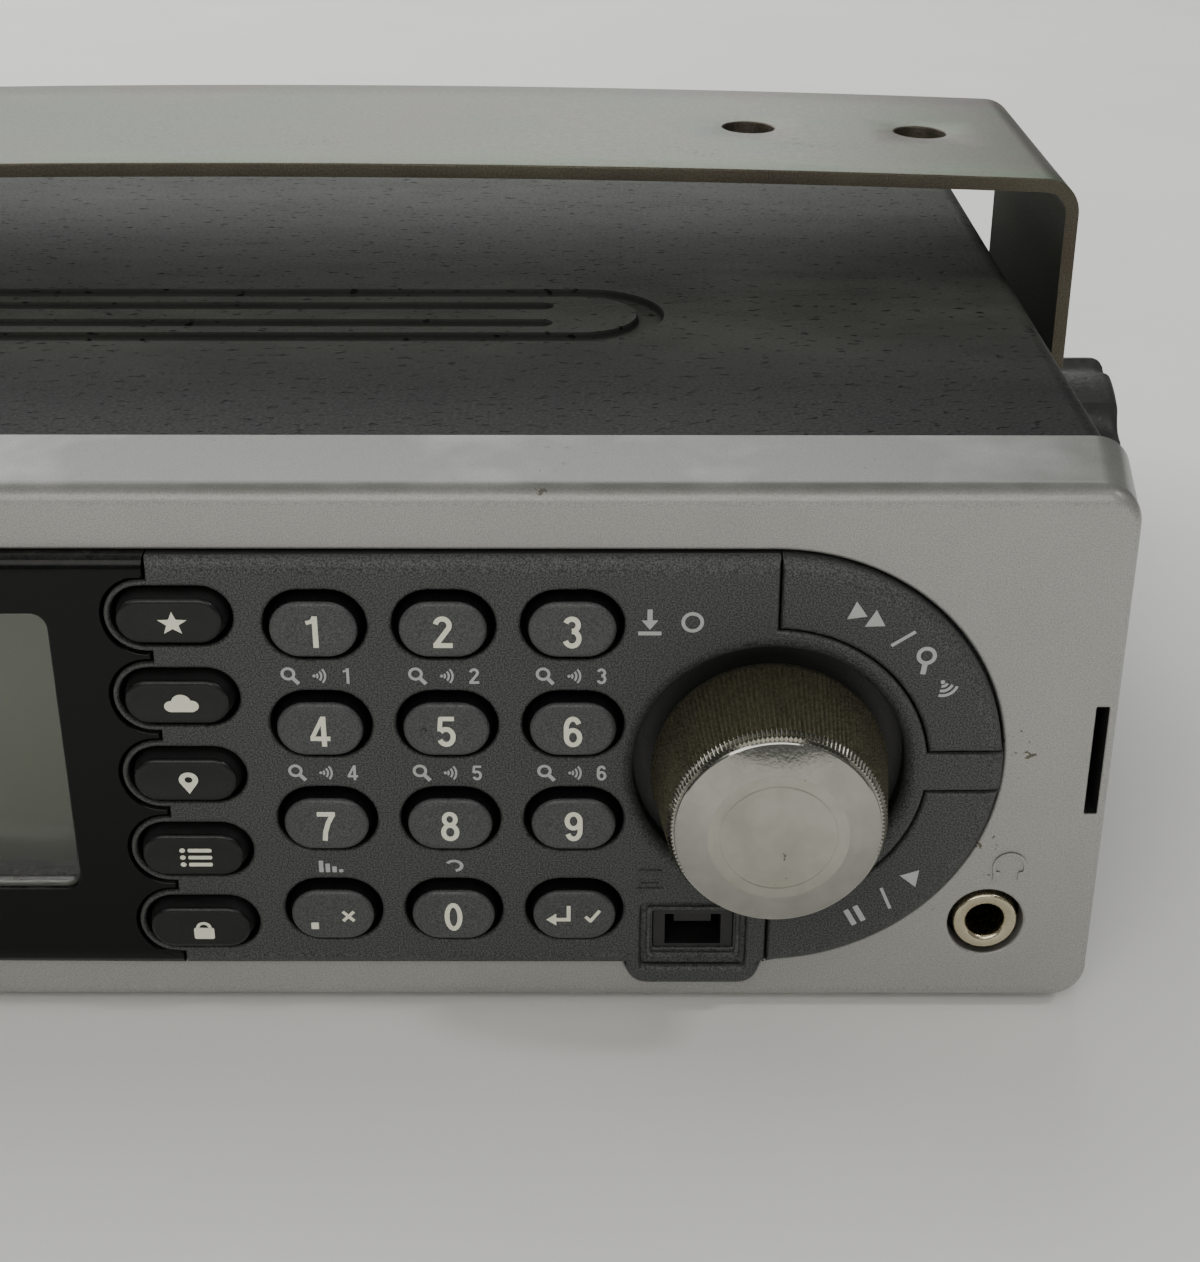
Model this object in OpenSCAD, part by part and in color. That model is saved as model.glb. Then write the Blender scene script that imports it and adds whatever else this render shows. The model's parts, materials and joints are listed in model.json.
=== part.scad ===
// Mobile police scanner in a DIN-size case: front bezel with display, keypad and
// scroll knob, sheet-steel case, rear connectors and a U-shaped mounting bracket.
// Millimetres. X to the right, Y to the back, Z up. The origin is the middle of
// the flat bottom of the case. Outlines on the front are drawn in X and Z.

/* [Case] */
// Width of the bezel at its back edge
case_w = 184; // [170:1:230]
// Height of the bezel at its back edge, above the resting plane
case_h = 56.5; // [55:0.5:75]
// Depth from the flat front of the bezel to the rear panel
case_d = 150; // [115:1:200]
// Depth of the bezel
bezel_d = 11; // [10.6:0.2:20]
// Wall of the bezel
bezel_wall = 2.4; // [1.8:0.1:3]
// Radius of the bezel's four corners
bezel_corner_r = 3.6; // [3:0.1:6]
// Rounding between the bezel's front and its sides
bezel_round = 1.8; // [0.8:0.1:2.4]
// How much narrower each side of the bezel is at the front
flare_side = 1.1; // [0:0.1:2]
// How much lower the top of the bezel is at the front
flare_top = 0.8; // [0:0.1:2]
// Gap between the bezel and the resting plane
bezel_lift = 0.2; // [0.1:0.1:1]
// Thickness of the sheet-steel cover and tray
sheet_t = 1.2; // [0.8:0.1:2]
// Step from the bezel's side and top down to the cover
cover_step = 1.5; // [1:0.1:3]
// Step from the bezel's top down to the cover's top
cover_drop = 0.5; // [0.2:0.1:2]
// Outer radius of the cover's long edges
cover_edge_r = 2.6; // [1.5:0.1:6]
// Gap between the bezel and the cover
seam_gap = 0.5; // [0.2:0.1:1]

/* [Front window] */
// Height of the round-ended window in the bezel
pill_h = 43.4; // [42:0.2:45]
// How far the window sits below the middle of the bezel
pill_drop = 0.4; // [0:0.1:1.5]
// How far panel and lens stand proud of the bezel
panel_proud = 1.5; // [0.6:0.1:3]
// Gap between panel, lens and bezel
panel_gap = 0.15; // [0.1:0.05:0.4]
// From the bezel's right side to the axis of the scroll knob
knob_from_side = 33.2; // [32:0.1:36]
// From the bezel's left side to the centre of the window's left end
lens_from_side = 44; // [42:0.5:48]
// Width of the display opening
lcd_w = 51.5; // [30:0.5:52]
// Height of the display opening
lcd_h = 29; // [20:0.5:31]
// How far the display opening sits above the middle of the window
lcd_rise = 1.7; // [0:0.1:2.5]

/* [Keys] */
// Travel of every key
key_travel = 1; // [0.5:0.1:1.2]
// Gap around each key
key_gap = 0.4; // [0.25:0.05:0.6]
// Width of a number key's opening
num_w = 9.35; // [7.5:0.05:9.5]
// Height of a number key's opening
num_h = 6.9; // [5:0.1:7.5]
// Distance between number key columns
num_pitch_x = 11.5; // [11.4:0.1:12]
// Distance between number key rows
num_pitch_z = 10.1; // [9.6:0.1:10.4]
// Width of a function key's opening
fn_w = 11; // [9:0.1:11.2]
// Height of a function key's opening
fn_h = 5.9; // [4.5:0.1:6.2]
// Distance between function keys
fn_pitch = 8.15; // [8:0.05:8.4]
// How far the keys stand proud of the panel
key_proud = 1.1; // [0.6:0.1:2]
// Wall of the collar around a function key
collar_t = 0.55; // [0.4:0.05:0.8]

/* [Scroll knob] */
// Radius of the scroll knob where it meets the panel
knob_r_base = 11; // [9:0.1:11.6]
// Radius of the scroll knob at its front rim
knob_r_rim = 9.7; // [8:0.1:11]
// Height of the scroll knob's rim above the bezel
knob_out = 11.35; // [9:0.1:16]
// Travel of the scroll knob when it is pushed
push_travel = 0.8; // [0.4:0.1:1]
// Radius of the knob's shaft
shaft_r = 3; // [2.5:0.1:3.2]

/* [Side knobs] */
// Radius of the volume and squelch knobs
side_knob_r = 6.2; // [5:0.1:6.6]
// Distance between the volume and squelch knobs
side_knob_pitch = 20; // [15:0.5:24]
// From the bezel's left side to the axes of the side knobs
side_knob_in = 12.2; // [11:0.1:13]

/* [Bracket] */
// Thickness of the bracket's steel strap
strap_t = 1.5; // [1:0.1:3]
// Width of the strap
strap_w = 42; // [34:1:50]
// Gap between the cover and each arm
arm_gap = 4; // [3:0.1:8]
// Clear height between the cover and the strap's ends
strap_clear = 10.9; // [9:0.1:20]
// How much the middle of the strap is bowed up
strap_bow = 1.7; // [0.5:0.1:4]
// How far the pivot lies behind the middle of the case
pivot_back = 4; // [0:0.5:10]
// Height of the pivot above the resting plane
pivot_h = 26; // [24:0.5:30]
// Radius of the thumb knobs
thumb_r = 14; // [10:0.5:16]
// Thickness of the thumb knobs
thumb_t = 10.2; // [7:0.1:14]
// Radius of the thumb screws' shanks
stud_r = 2.45; // [1.9:0.05:3]
// Radius of the four mounting holes in the strap
strap_hole_r = 3.05; // [2:0.05:3.5]
// Distance between the two mounting holes of a pair
strap_hole_pitch = 20.4; // [14:0.2:24]
// From the arm's outside to the outer mounting hole
strap_hole_in = 15; // [11:0.5:20]

/* [Jacks] */
// Radius of the hole in each 3.5 mm jack
plug_r = 1.8; // [1.78:0.01:1.9]
// Depth of the hole in each 3.5 mm jack
plug_deep = 14; // [12:0.5:16]
// Outer radius of the aerial socket
aerial_r = 4.8; // [4.5:0.1:5]

/* [Hidden] */
$fn = 64;

// a cut runs this far past what it cuts
over = 0.5;

// planes and centres of the front
front_y = -case_d / 2;
rear_y = case_d / 2;
bezel_mid_z = (case_h + bezel_lift) / 2;
inner_w = case_w - 2 * (flare_side + bezel_wall);
inner_h = case_h - bezel_lift - 2 * (flare_top + bezel_wall);
z_mid = bezel_mid_z - pill_drop;
pill_r = pill_h / 2;
knob_x = case_w / 2 - knob_from_side;
lens_arc_x = -case_w / 2 + lens_from_side;

// key columns are counted from the scroll knob towards the display
last_col_x = knob_x - 18.1;
fn_x = last_col_x - 2 * num_pitch_x - 12.7;
split_x = fn_x - 2;
fn_mid_z = z_mid - 0.3;
lcd_x = fn_x - 11.2 - lcd_w / 2;
lcd_z = z_mid + lcd_rise;

// depths behind the flat front, negative in front of it
panel_back = bezel_wall + 1.5;
lens_back = bezel_wall + 0.8;
flange_grow = 1.2;
key_top = -panel_proud - key_proud;
key_flange_top = panel_back + 0.2;
key_flange_t = 0.8;
mat_front = key_flange_top + key_flange_t + key_travel + 0.15;
board_front = mat_front + 1.8;
board_t = 1.6;
board_back = board_front + board_t;

// scroll knob and its recess
recess_r = knob_r_base + 1.6;
recess_floor = push_travel + 0.7;
knob_back = 0.2;
cap_r = knob_r_rim - 0.55;
rotor_r = shaft_r + 0.5;
bush_r = rotor_r + 0.9;
run_gap = 0.05;
arc_key_inner = recess_r + 2;
arc_web = 4;

// side knobs, jacks and sockets
side_knob_x = -case_w / 2 + side_knob_in;
side_knob_out = 9.5;
side_bush_r = 3.5;
jack_x = case_w / 2 - 11.55;
jack_z = bezel_lift + 10.2;
jack_hole_r = 3.65;
ferrule_r = 3.1;
slot_x = case_w / 2 - 2.7;
serial_x = knob_x - 6.7;
serial_z = z_mid - pill_r + 3.85;
bump_top = serial_z + 6;
bump_low = max(serial_z - 6, bezel_mid_z - inner_h / 2 + 0.7);

// case
cover_x = case_w / 2 - cover_step;
cover_top = case_h - cover_drop;
cover_front = bezel_d + seam_gap;
tray_x = cover_x - sheet_t - 0.1;
tray_flange_h = 14;
tongue_t = 2.2;
tongue_deep = cover_front + 12;
tongue_z = [18, case_h - 16];
tray_screw_y = [pivot_back - 24, rear_y - 17];
tray_screw_z = 8;
panel_t = 2.5;
screw_r = 1.5;
screw_head_r = 2.8;

// main board and speaker
main_z = 8;
main_y0 = front_y + board_back + 8;
main_y1 = rear_y - panel_t - 6;
main_x0 = -tray_x + 8;
main_x1 = 26;
speaker_r = 25;
speaker_x = 58;
speaker_y = front_y + tongue_deep + 45;

// bracket
arm_in = cover_x + arm_gap;
arm_out = arm_in + strap_t;
bend_r = 4;
strap_end = cover_top + strap_clear + strap_t;
foot_r = strap_w / 3;
thumb_gap = 0.3;
thumb_in = arm_out + thumb_gap;
strap_hole_x = arm_out - strap_hole_in - strap_hole_pitch / 2;
nut_r = 4.6;
nut_deep = 11;

// rear connectors
aerial_x = 12;
aerial_z = case_h - 17;
data_x = 48;
data_z = case_h - 18;
power_x = 76;
power_z = 16;
rear_jack_x = 56;
sink_x = -42;
sink_w = 72;
sink_h = case_h - 14;

// Helpers.

// extrudes an outline drawn in X and Z between two depths behind the front
module slab(from, to) {
    translate([0, front_y + to, 0])
        rotate([90, 0, 0])
            linear_extrude(height = to - from) children();
}

// turns a profile of [radius, distance out of the front] about an axis through the front
module turn_front(x, z, profile) {
    translate([x, front_y, z])
        rotate([90, 0, 0])
            rotate_extrude($fn = 96) polygon(points = profile);
}

// the same for a profile of [radius, distance out of the rear panel]
module turn_rear(x, z, profile) {
    translate([x, rear_y, z])
        rotate([-90, 0, 0])
            rotate_extrude($fn = 96) polygon(points = profile);
}

// a profile of [radius, distance from the middle plane], turned about the bracket's pivot
module turn_side(side, profile) {
    translate([0, pivot_back, pivot_h])
        rotate([0, side * 90, 0])
            rotate_extrude($fn = 96) polygon(points = profile);
}

module stadium(w, h) {
    square([w - h, h], center = true);
    for (s = [-1, 1]) translate([s * (w - h) / 2, 0]) circle(d = h);
}

module round_rect(w, h, r) {
    square([w, h - 2 * r], center = true);
    square([w - 2 * r, h], center = true);
    for (sx = [-1, 1], sz = [-1, 1])
        translate([sx * (w / 2 - r), sz * (h / 2 - r)]) circle(r = r);
}

// outline of the window in the bezel, grown by a gap or a flange
module window(grow = 0) {
    for (x = [lens_arc_x, knob_x]) translate([x, z_mid]) circle(r = pill_r + grow, $fn = 128);
    translate([lens_arc_x, z_mid - pill_r - grow])
        square([knob_x - lens_arc_x, pill_h + 2 * grow]);
    translate([serial_x, (bump_top + bump_low) / 2])
        round_rect(12.85 + 2 * grow, bump_top - bump_low + 2 * min(grow, 0.3), 2);
}

module right_of(x) translate([x, -over]) square([case_w, case_h + 2 * over]);
module left_of(x) translate([x - case_w, -over]) square([case_w, case_h + 2 * over]);

function fn_z(i) = fn_mid_z + (2 - i) * fn_pitch;
function num_x(col) = last_col_x - (2 - col) * num_pitch_x;
function num_z(row) = z_mid + (1.5 - row) * num_pitch_z;

module fn_outlines(grow) {
    for (i = [0:4]) translate([fn_x, fn_z(i)]) stadium(fn_w + 2 * grow, fn_h + 2 * grow);
}

// quarter ring beside the scroll knob; side 1 is above the web and -1 below it
module arc_outline(side, inset = 0) {
    intersection() {
        translate([knob_x, z_mid]) difference() {
            circle(r = pill_r - inset, $fn = 128);
            circle(r = arc_key_inner + inset, $fn = 128);
        }
        translate([knob_x + 0.3 + inset, side > 0 ? z_mid + arc_web / 2 + inset : z_mid - pill_h])
            square([pill_h, pill_h - arc_web / 2 - inset]);
    }
}

// places of the two stems behind an arc key
function stem_at(side, angle) = [knob_x + (pill_r + arc_key_inner) / 2 * cos(angle),
    z_mid + side * (pill_r + arc_key_inner) / 2 * sin(angle)];

// Front.

module bezel_slice(y, inset_x, inset_z, r) {
    translate([0, front_y + y + 0.01, bezel_mid_z])
        rotate([90, 0, 0])
            linear_extrude(height = 0.01)
                round_rect(case_w - 2 * inset_x, case_h - bezel_lift - 2 * inset_z, r, $fn = 32);
}

module bezel_form() {
    hull() {
        bezel_slice(0, flare_side + bezel_round, flare_top + bezel_round,
            bezel_corner_r - bezel_round);
        bezel_slice(bezel_round * 0.29, flare_side + bezel_round * 0.29,
            flare_top + bezel_round * 0.29, bezel_corner_r - bezel_round * 0.29);
        bezel_slice(bezel_round, flare_side, flare_top, bezel_corner_r);
        bezel_slice(bezel_d - 0.01, 0, 0, bezel_corner_r);
    }
}

module front_bezel() {
    color([0.62, 0.61, 0.59]) difference() {
        union() {
            difference() {
                bezel_form();
                slab(bezel_wall, bezel_d + over)
                    translate([0, bezel_mid_z])
                        round_rect(inner_w, inner_h, bezel_corner_r - 1.5);
            }
            // posts that carry the front board
            for (p = board_posts()) slab(bezel_wall - 0.2, board_front)
                translate(p) circle(r = 2.4);
            // tongues that reach back inside the cover
            for (s = [-1, 1]) translate([s * (tray_x - tongue_t / 2 - 0.1), 0])
                slab(bezel_wall - 0.2, tongue_deep)
                    translate([0, bezel_mid_z])
                        square([tongue_t, case_h - 24], center = true);
        }
        slab(-over, bezel_wall + over) window(panel_gap);
        for (p = board_posts()) slab(bezel_wall + 0.4, board_front + over)
            translate(p) circle(r = 1);
        slab(-over, bezel_wall + over) translate([jack_x, jack_z]) circle(r = jack_hole_r);
        for (s = [-1, 1]) slab(-over, bezel_d - 2)
            translate([s * slot_x, z_mid + 0.4]) square([1.2, 11.4], center = true);
        for (s = [-1, 1]) slab(-over, bezel_wall + over)
            translate([side_knob_x, z_mid + s * side_knob_pitch / 2]) circle(r = side_bush_r + 0.4);
        for (s = [-1, 1], z = tongue_z) translate([0, front_y + cover_front + 6, z])
            rotate([0, s * 90, 0]) cylinder(r = screw_r, h = case_w);
    }
}

// posts stand in the corners that the window's round ends leave free
function board_posts() = [[lens_arc_x - 24, z_mid + 20.5], [lens_arc_x - 24, z_mid - 20.5],
    [knob_x + 21.7, z_mid + 20.5], [knob_x + 14.2, z_mid - 21.6]];

module keypad_panel() {
    color([0.24, 0.25, 0.25]) difference() {
        union() {
            slab(-panel_proud + 0.6, recess_floor + 0.4) panel_outline(0);
            slab(-panel_proud, -panel_proud + 0.6) panel_outline(0.6);
            slab(recess_floor + 0.4, panel_back) panel_base(0);
            slab(bezel_wall, panel_back) panel_base(flange_grow);
        }
        slab(-panel_proud - over, panel_back + over) {
            fn_outlines(0);
            for (col = [0:2], row = [0:3]) translate([num_x(col), num_z(row)]) stadium(num_w, num_h);
            translate([knob_x, z_mid]) circle(r = bush_r + 0.4);
            for (side = [-1, 1], a = [30, 60]) translate(stem_at(side, a)) circle(r = 1.9);
        }
        slab(-panel_proud - over, recess_floor) translate([knob_x, z_mid]) circle(r = recess_r, $fn = 128);
        // frame around the serial socket
        slab(-panel_proud - over, -panel_proud + 0.7)
            translate([serial_x, serial_z - 0.3]) round_rect(10.2, 7.3, 0.6);
        slab(-panel_proud - over, panel_back + over)
            translate([serial_x, serial_z]) square([7.8, 4.4], center = true);
    }
}

module panel_outline(inset) {
    difference() {
        union() {
            intersection() {
                window(-inset);
                right_of(split_x);
            }
            fn_outlines(collar_t);
        }
        for (side = [-1, 1]) arc_outline(side, -0.01);
    }
}

module panel_base(grow) {
    intersection() {
        window(grow);
        right_of(split_x);
    }
    fn_outlines(collar_t);
}

module lens_outline(grow = 0) {
    difference() {
        intersection() {
            window(grow);
            left_of(split_x - panel_gap);
        }
        fn_outlines(collar_t + 0.25);
    }
}

module lcd_opening(grow = 0) {
    translate([lcd_x, lcd_z]) round_rect(lcd_w + 2 * grow, lcd_h + 2 * grow, 1.5);
}

module display_lens() {
    color([0.03, 0.03, 0.035]) difference() {
        union() {
            slab(-panel_proud + 0.6, bezel_wall) lens_outline(0);
            slab(-panel_proud, -panel_proud + 0.6) lens_outline(-0.6);
            slab(bezel_wall, lens_back) lens_outline(flange_grow);
        }
        slab(-panel_proud - over, lens_back + over) lcd_opening();
    }
}

module display_window() {
    color([0.75, 0.8, 0.8, 0.3]) slab(-panel_proud, 0.5) lcd_opening();
}

module lcd_glass() {
    color([0.35, 0.37, 0.3]) slab(lens_back + 1.4, lens_back + 3.4) lcd_opening(2);
}

module lcd_holder() {
    color([0.1, 0.1, 0.1]) difference() {
        slab(lens_back, board_front) lcd_opening(3.5);
        slab(lens_back - over, lens_back + 1.4 + over) lcd_opening(0.4);
        slab(lens_back + 1.4, lens_back + 3.4) lcd_opening(2);
    }
}

module keypad_mat() {
    color([0.55, 0.55, 0.52]) difference() {
        slab(mat_front, board_front)
            translate([(fn_x + last_col_x) / 2, z_mid])
                square([last_col_x - fn_x + 13, pill_h], center = true);
        // pockets that leave the keys' plungers free
        slab(mat_front + 0.8, board_front + over)
            for (col = [0:2], row = [0:3]) translate([num_x(col), num_z(row)]) circle(r = 2.2);
    }
}

module front_board() {
    color([0.1, 0.32, 0.16]) difference() {
        slab(board_front, board_back)
            translate([0, bezel_mid_z]) square([2 * tray_x - 9, inner_h - 0.6], center = true);
        for (p = board_posts()) slab(board_front - over, board_back + over)
            translate(p) circle(r = 1.2);
        slab(board_front - over, board_back + over) translate([jack_x, jack_z]) circle(r = 3.2);
    }
}

// Keys.

// a key with a face a little smaller than its body, and a flange behind the panel
module pad_key(x, z, w, h, shade) {
    body_w = w - 2 * key_gap;
    body_h = h - 2 * key_gap;
    color(shade) translate([x, 0, z]) {
        slab(key_top, key_top + 0.5) stadium(body_w - 0.6, body_h - 0.6);
        slab(key_top + 0.5, key_flange_top) stadium(body_w, body_h);
        slab(key_flange_top, key_flange_top + key_flange_t) stadium(w + 1.2, h + 1.2);
    }
}

module number_key(col, row) pad_key(num_x(col), num_z(row), num_w, num_h, [0.24, 0.25, 0.25]);
module function_key(i) pad_key(fn_x, fn_z(i), fn_w, fn_h, [0.04, 0.04, 0.045]);

module arc_key(side) {
    color([0.26, 0.27, 0.27]) {
        slab(-panel_proud + 0.6, recess_floor + 0.4 - key_travel - 0.1) arc_outline(side, 0.3);
        slab(-panel_proud, -panel_proud + 0.6) arc_outline(side, 0.6);
        for (a = [30, 60]) {
            slab(0, key_flange_top + 0.2) translate(stem_at(side, a)) circle(r = 1.5);
            slab(key_flange_top + 0.2, key_flange_top + key_flange_t)
                translate(stem_at(side, a)) circle(r = 2.3);
        }
    }
}

// Scroll knob.

module scroll_knob() {
    color([0.27, 0.26, 0.21]) turn_front(knob_x, z_mid, [
        [shaft_r, knob_out - 1.2], [cap_r, knob_out - 1.2], [cap_r, knob_out],
        [knob_r_rim, knob_out], [knob_r_base, 1.2], [knob_r_base, -knob_back],
        [knob_r_base - 1.4, -knob_back], [knob_r_rim - 1.6, 5.5], [bush_r + 0.6, 5.5],
        [bush_r + 0.6, 2.8], [shaft_r, 2.8]]);
}

module scroll_cap() {
    color([0.8, 0.79, 0.77]) turn_front(knob_x, z_mid, [
        [0, knob_out - 1.2], [cap_r, knob_out - 1.2], [cap_r, knob_out + 0.8],
        [cap_r * 0.68, knob_out + 1.4], [0, knob_out + 1.4]]);
}

module encoder_body() {
    color([0.2, 0.2, 0.22]) difference() {
        union() {
            slab(panel_back, board_front) translate([knob_x, z_mid]) square(12.6, center = true);
            slab(-1.2, panel_back + over) translate([knob_x, z_mid]) circle(r = bush_r);
        }
        slab(-1.2 - over, board_front + over) translate([knob_x, z_mid]) circle(r = rotor_r + run_gap);
    }
}

module encoder_rotor() {
    color([0.85, 0.84, 0.8]) difference() {
        slab(-1.1, board_front - 0.1) translate([knob_x, z_mid]) circle(r = rotor_r);
        slab(-1.1 - over, board_front + over) translate([knob_x, z_mid]) circle(r = shaft_r + run_gap);
    }
}

module encoder_shaft() {
    color([0.7, 0.7, 0.7]) slab(-knob_out + 1.2, board_front - push_travel - 0.2)
        translate([knob_x, z_mid]) circle(r = shaft_r);
}

// Volume and squelch.

module side_knob(side) {
    color([0.55, 0.54, 0.52]) difference() {
        turn_front(side_knob_x, z_mid + side * side_knob_pitch / 2, [
            [0, side_knob_out - 1.5], [0, side_knob_out], [side_knob_r - 1, side_knob_out],
            [side_knob_r - 0.4, side_knob_out - 0.4], [side_knob_r, 0.6],
            [side_bush_r + 0.6, 0.6], [side_bush_r + 0.6, 3], [2, 3], [2, side_knob_out - 1.5]]);
        // pointer line across the front
        translate([side_knob_x, front_y - side_knob_out,
                z_mid + side * side_knob_pitch / 2 + side_knob_r / 2 + 0.8])
            cube([0.8, 1, side_knob_r], center = true);
    }
}

module side_pots() {
    color([0.2, 0.2, 0.22]) for (s = [-1, 1]) difference() {
        union() {
            slab(bezel_wall + 0.8, board_front)
                translate([side_knob_x, z_mid + s * side_knob_pitch / 2]) square([10, 11], center = true);
            slab(-2, bezel_wall + 1)
                translate([side_knob_x, z_mid + s * side_knob_pitch / 2]) circle(r = side_bush_r);
        }
        slab(-2 - over, board_front - 1)
            translate([side_knob_x, z_mid + s * side_knob_pitch / 2]) circle(r = 2 + run_gap);
    }
}

module side_shaft(side) {
    color([0.7, 0.7, 0.7]) slab(-side_knob_out + 1.5, board_front - 1.2)
        translate([side_knob_x, z_mid + side * side_knob_pitch / 2]) circle(r = 2);
}

// Front sockets.

module headphone_jack() {
    color([0.05, 0.05, 0.05]) difference() {
        union() {
            slab(panel_back + 0.1, board_front)
                translate([jack_x, jack_z + 0.4]) square([9, 8.4], center = true);
            slab(board_front - 0.2, plug_deep + 1.5) translate([jack_x, jack_z]) circle(r = 3);
        }
        slab(-over, plug_deep + 0.4) translate([jack_x, jack_z]) circle(r = plug_r);
    }
}

module headphone_ferrule() {
    color([0.75, 0.68, 0.5]) turn_front(jack_x, jack_z, [
        [plug_r, -panel_back - 0.1], [plug_r, -0.9], [ferrule_r - 0.7, 0],
        [ferrule_r, 0], [ferrule_r, -panel_back - 0.1]]);
}

module serial_socket() {
    color([0.06, 0.06, 0.06]) {
        difference() {
            slab(-panel_proud + 0.9, board_front)
                translate([serial_x, serial_z]) square([7.6, 4.2], center = true);
            slab(-panel_proud - over, board_front - 2)
                translate([serial_x, serial_z - 0.1]) square([5.4, 3.4], center = true);
        }
        // tongue with the contacts
        slab(-panel_proud + 2, board_front - 1)
            translate([serial_x, serial_z + 0.6]) square([3.6, 1.1], center = true);
    }
}

// Case.

module cover_section(low) {
    difference() {
        round_rect(2 * cover_x, 2 * cover_top, cover_edge_r);
        round_rect(2 * (cover_x - sheet_t), 2 * (cover_top - sheet_t), max(cover_edge_r - sheet_t, 0.5));
        translate([-case_w, low - 2 * cover_top]) square([2 * case_w, 2 * cover_top]);
    }
}

module top_cover() {
    color([0.2, 0.2, 0.195]) difference() {
        slab(cover_front, case_d) cover_section(sheet_t + 0.6);
        cover_stamping();
        side_screw_holes(screw_r + 0.2);
        for (s = [-1, 1]) translate([0, pivot_back, pivot_h])
            rotate([0, s * 90, 0]) cylinder(r = nut_r - 1 + run_gap, h = case_w);
    }
}

// a long stamped ring with three bars, debossed in the top
module cover_stamping() {
    translate([0, front_y + 48.5, cover_top - 0.5]) linear_extrude(height = 0.5 + over) {
        difference() {
            stadium(100, 18.5);
            stadium(97.4, 15.9);
        }
        for (s = [-1:1]) translate([0, s * 4.2]) stadium(80 - 8 * abs(s), 1.5);
    }
}

module side_screw_holes(r) {
    for (s = [-1, 1]) {
        for (z = tongue_z) translate([0, front_y + cover_front + 6, z])
            rotate([0, s * 90, 0]) cylinder(r = r, h = case_w);
        for (y = tray_screw_y) translate([0, y, tray_screw_z])
            rotate([0, s * 90, 0]) cylinder(r = r, h = case_w);
    }
}

module bottom_tray() {
    color([0.2, 0.2, 0.195]) difference() {
        union() {
            translate([-cover_x, front_y + cover_front, 0])
                cube([2 * cover_x, case_d - cover_front, sheet_t]);
            for (s = [-1, 1])
                translate([s * (tray_x - sheet_t / 2) - sheet_t / 2, front_y + tongue_deep + 1, 0])
                    cube([sheet_t, case_d - tongue_deep - 1, tray_flange_h]);
            // standoffs for the main board
            for (p = main_posts()) translate([p[0], p[1], 0]) cylinder(r = 3, h = main_z);
        }
        side_screw_holes(screw_r);
        for (p = main_posts()) translate([p[0], p[1], sheet_t]) cylinder(r = 1, h = main_z);
        // slots in front of the speaker
        for (i = [-3:3]) translate([speaker_x + i * 5, speaker_y, -over])
            linear_extrude(height = sheet_t + 2 * over)
                rotate(90) stadium(40 - 3 * abs(i) * abs(i) / 2, 2.2);
    }
}

function main_posts() = [for (x = [main_x0 + 5, main_x1 - 5], y = [main_y0 + 5, main_y1 - 5]) [x, y]];

module rear_panel() {
    color([0.16, 0.16, 0.16]) difference() {
        translate([-tray_x + sheet_t + 0.1, rear_y - panel_t, sheet_t])
            cube([2 * (tray_x - sheet_t - 0.1), panel_t, cover_top - 2 * sheet_t]);
        translate([aerial_x, rear_y, aerial_z]) rotate([90, 0, 0])
            translate([0, 0, -over]) cylinder(r = 5.6 + run_gap, h = panel_t + 2 * over);
        translate([data_x - 10.5, rear_y - panel_t - over, data_z - 6])
            cube([21, panel_t + 2 * over, 12]);
        translate([rear_jack_x, rear_y, power_z]) rotate([90, 0, 0])
            translate([0, 0, -over]) cylinder(r = 5, h = panel_t + 2 * over);
        translate([power_x, rear_y, power_z]) rotate([90, 0, 0])
            translate([0, 0, -over]) cylinder(r = 5.5, h = panel_t + 2 * over);
    }
}

module heat_sink() {
    color([0.08, 0.08, 0.08]) translate([sink_x - sink_w / 2, rear_y, (case_h - sink_h) / 2]) {
        cube([sink_w, 2, sink_h]);
        for (i = [0:11]) translate([i * (sink_w - 1.6) / 11, 1, 0]) cube([1.6, 8, sink_h]);
    }
}

module main_board() {
    color([0.1, 0.32, 0.16]) difference() {
        translate([main_x0, main_y0, main_z]) cube([main_x1 - main_x0, main_y1 - main_y0, board_t]);
        for (p = main_posts()) translate([p[0], p[1], main_z - over])
            cylinder(r = 1.2, h = board_t + 2 * over);
    }
}

module shield_cans() {
    color([0.72, 0.72, 0.7]) translate([main_x0 + 12, main_y0 + 26, main_z + board_t]) {
        cube([34, 44, 7]);
        translate([38, 0, 0]) cube([28, 26, 7]);
        translate([38, 30, 0]) cube([28, 14, 5]);
    }
}

module flat_cable() {
    z0 = main_z + board_t;
    y0 = front_y + board_back;
    color([0.8, 0.8, 0.78]) translate([-34, 0, 0]) rotate([90, 0, 90]) linear_extrude(height = 30)
        polygon(points = [[y0, z0 + 8], [y0 + 4, z0 + 8], [y0 + 16, z0], [y0 + 20, z0],
            [y0 + 20, z0 + 0.4], [y0 + 16.2, z0 + 0.4], [y0 + 4.2, z0 + 8.4], [y0, z0 + 8.4]]);
}

module speaker() {
    color([0.12, 0.12, 0.12]) translate([speaker_x, speaker_y, sheet_t]) rotate_extrude($fn = 96)
        polygon(points = [[0, 4], [speaker_r - 5, 1], [speaker_r - 4, 0], [speaker_r, 0],
            [speaker_r, 2], [speaker_r - 3, 3], [14, 9], [14, 15], [0, 15]]);
}

// pan-head screws in the sides of the case
module case_screws() {
    color([0.1, 0.1, 0.1]) for (s = [-1, 1]) {
        for (z = tongue_z) translate([s * cover_x, front_y + cover_front + 6, z])
            rotate([0, s * 90, 0]) side_screw(4.6);
        for (y = tray_screw_y) translate([s * cover_x, y, tray_screw_z])
            rotate([0, s * 90, 0]) side_screw(4);
    }
}

module side_screw(len) {
    difference() {
        union() {
            cylinder(r = screw_head_r, h = 1.1);
            translate([0, 0, -len]) cylinder(r = screw_r, h = len + 0.1);
        }
        for (a = [0, 90]) rotate([0, 0, a]) translate([0, 0, 1.1]) cube([3.2, 0.7, 1.2], center = true);
    }
}

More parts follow.
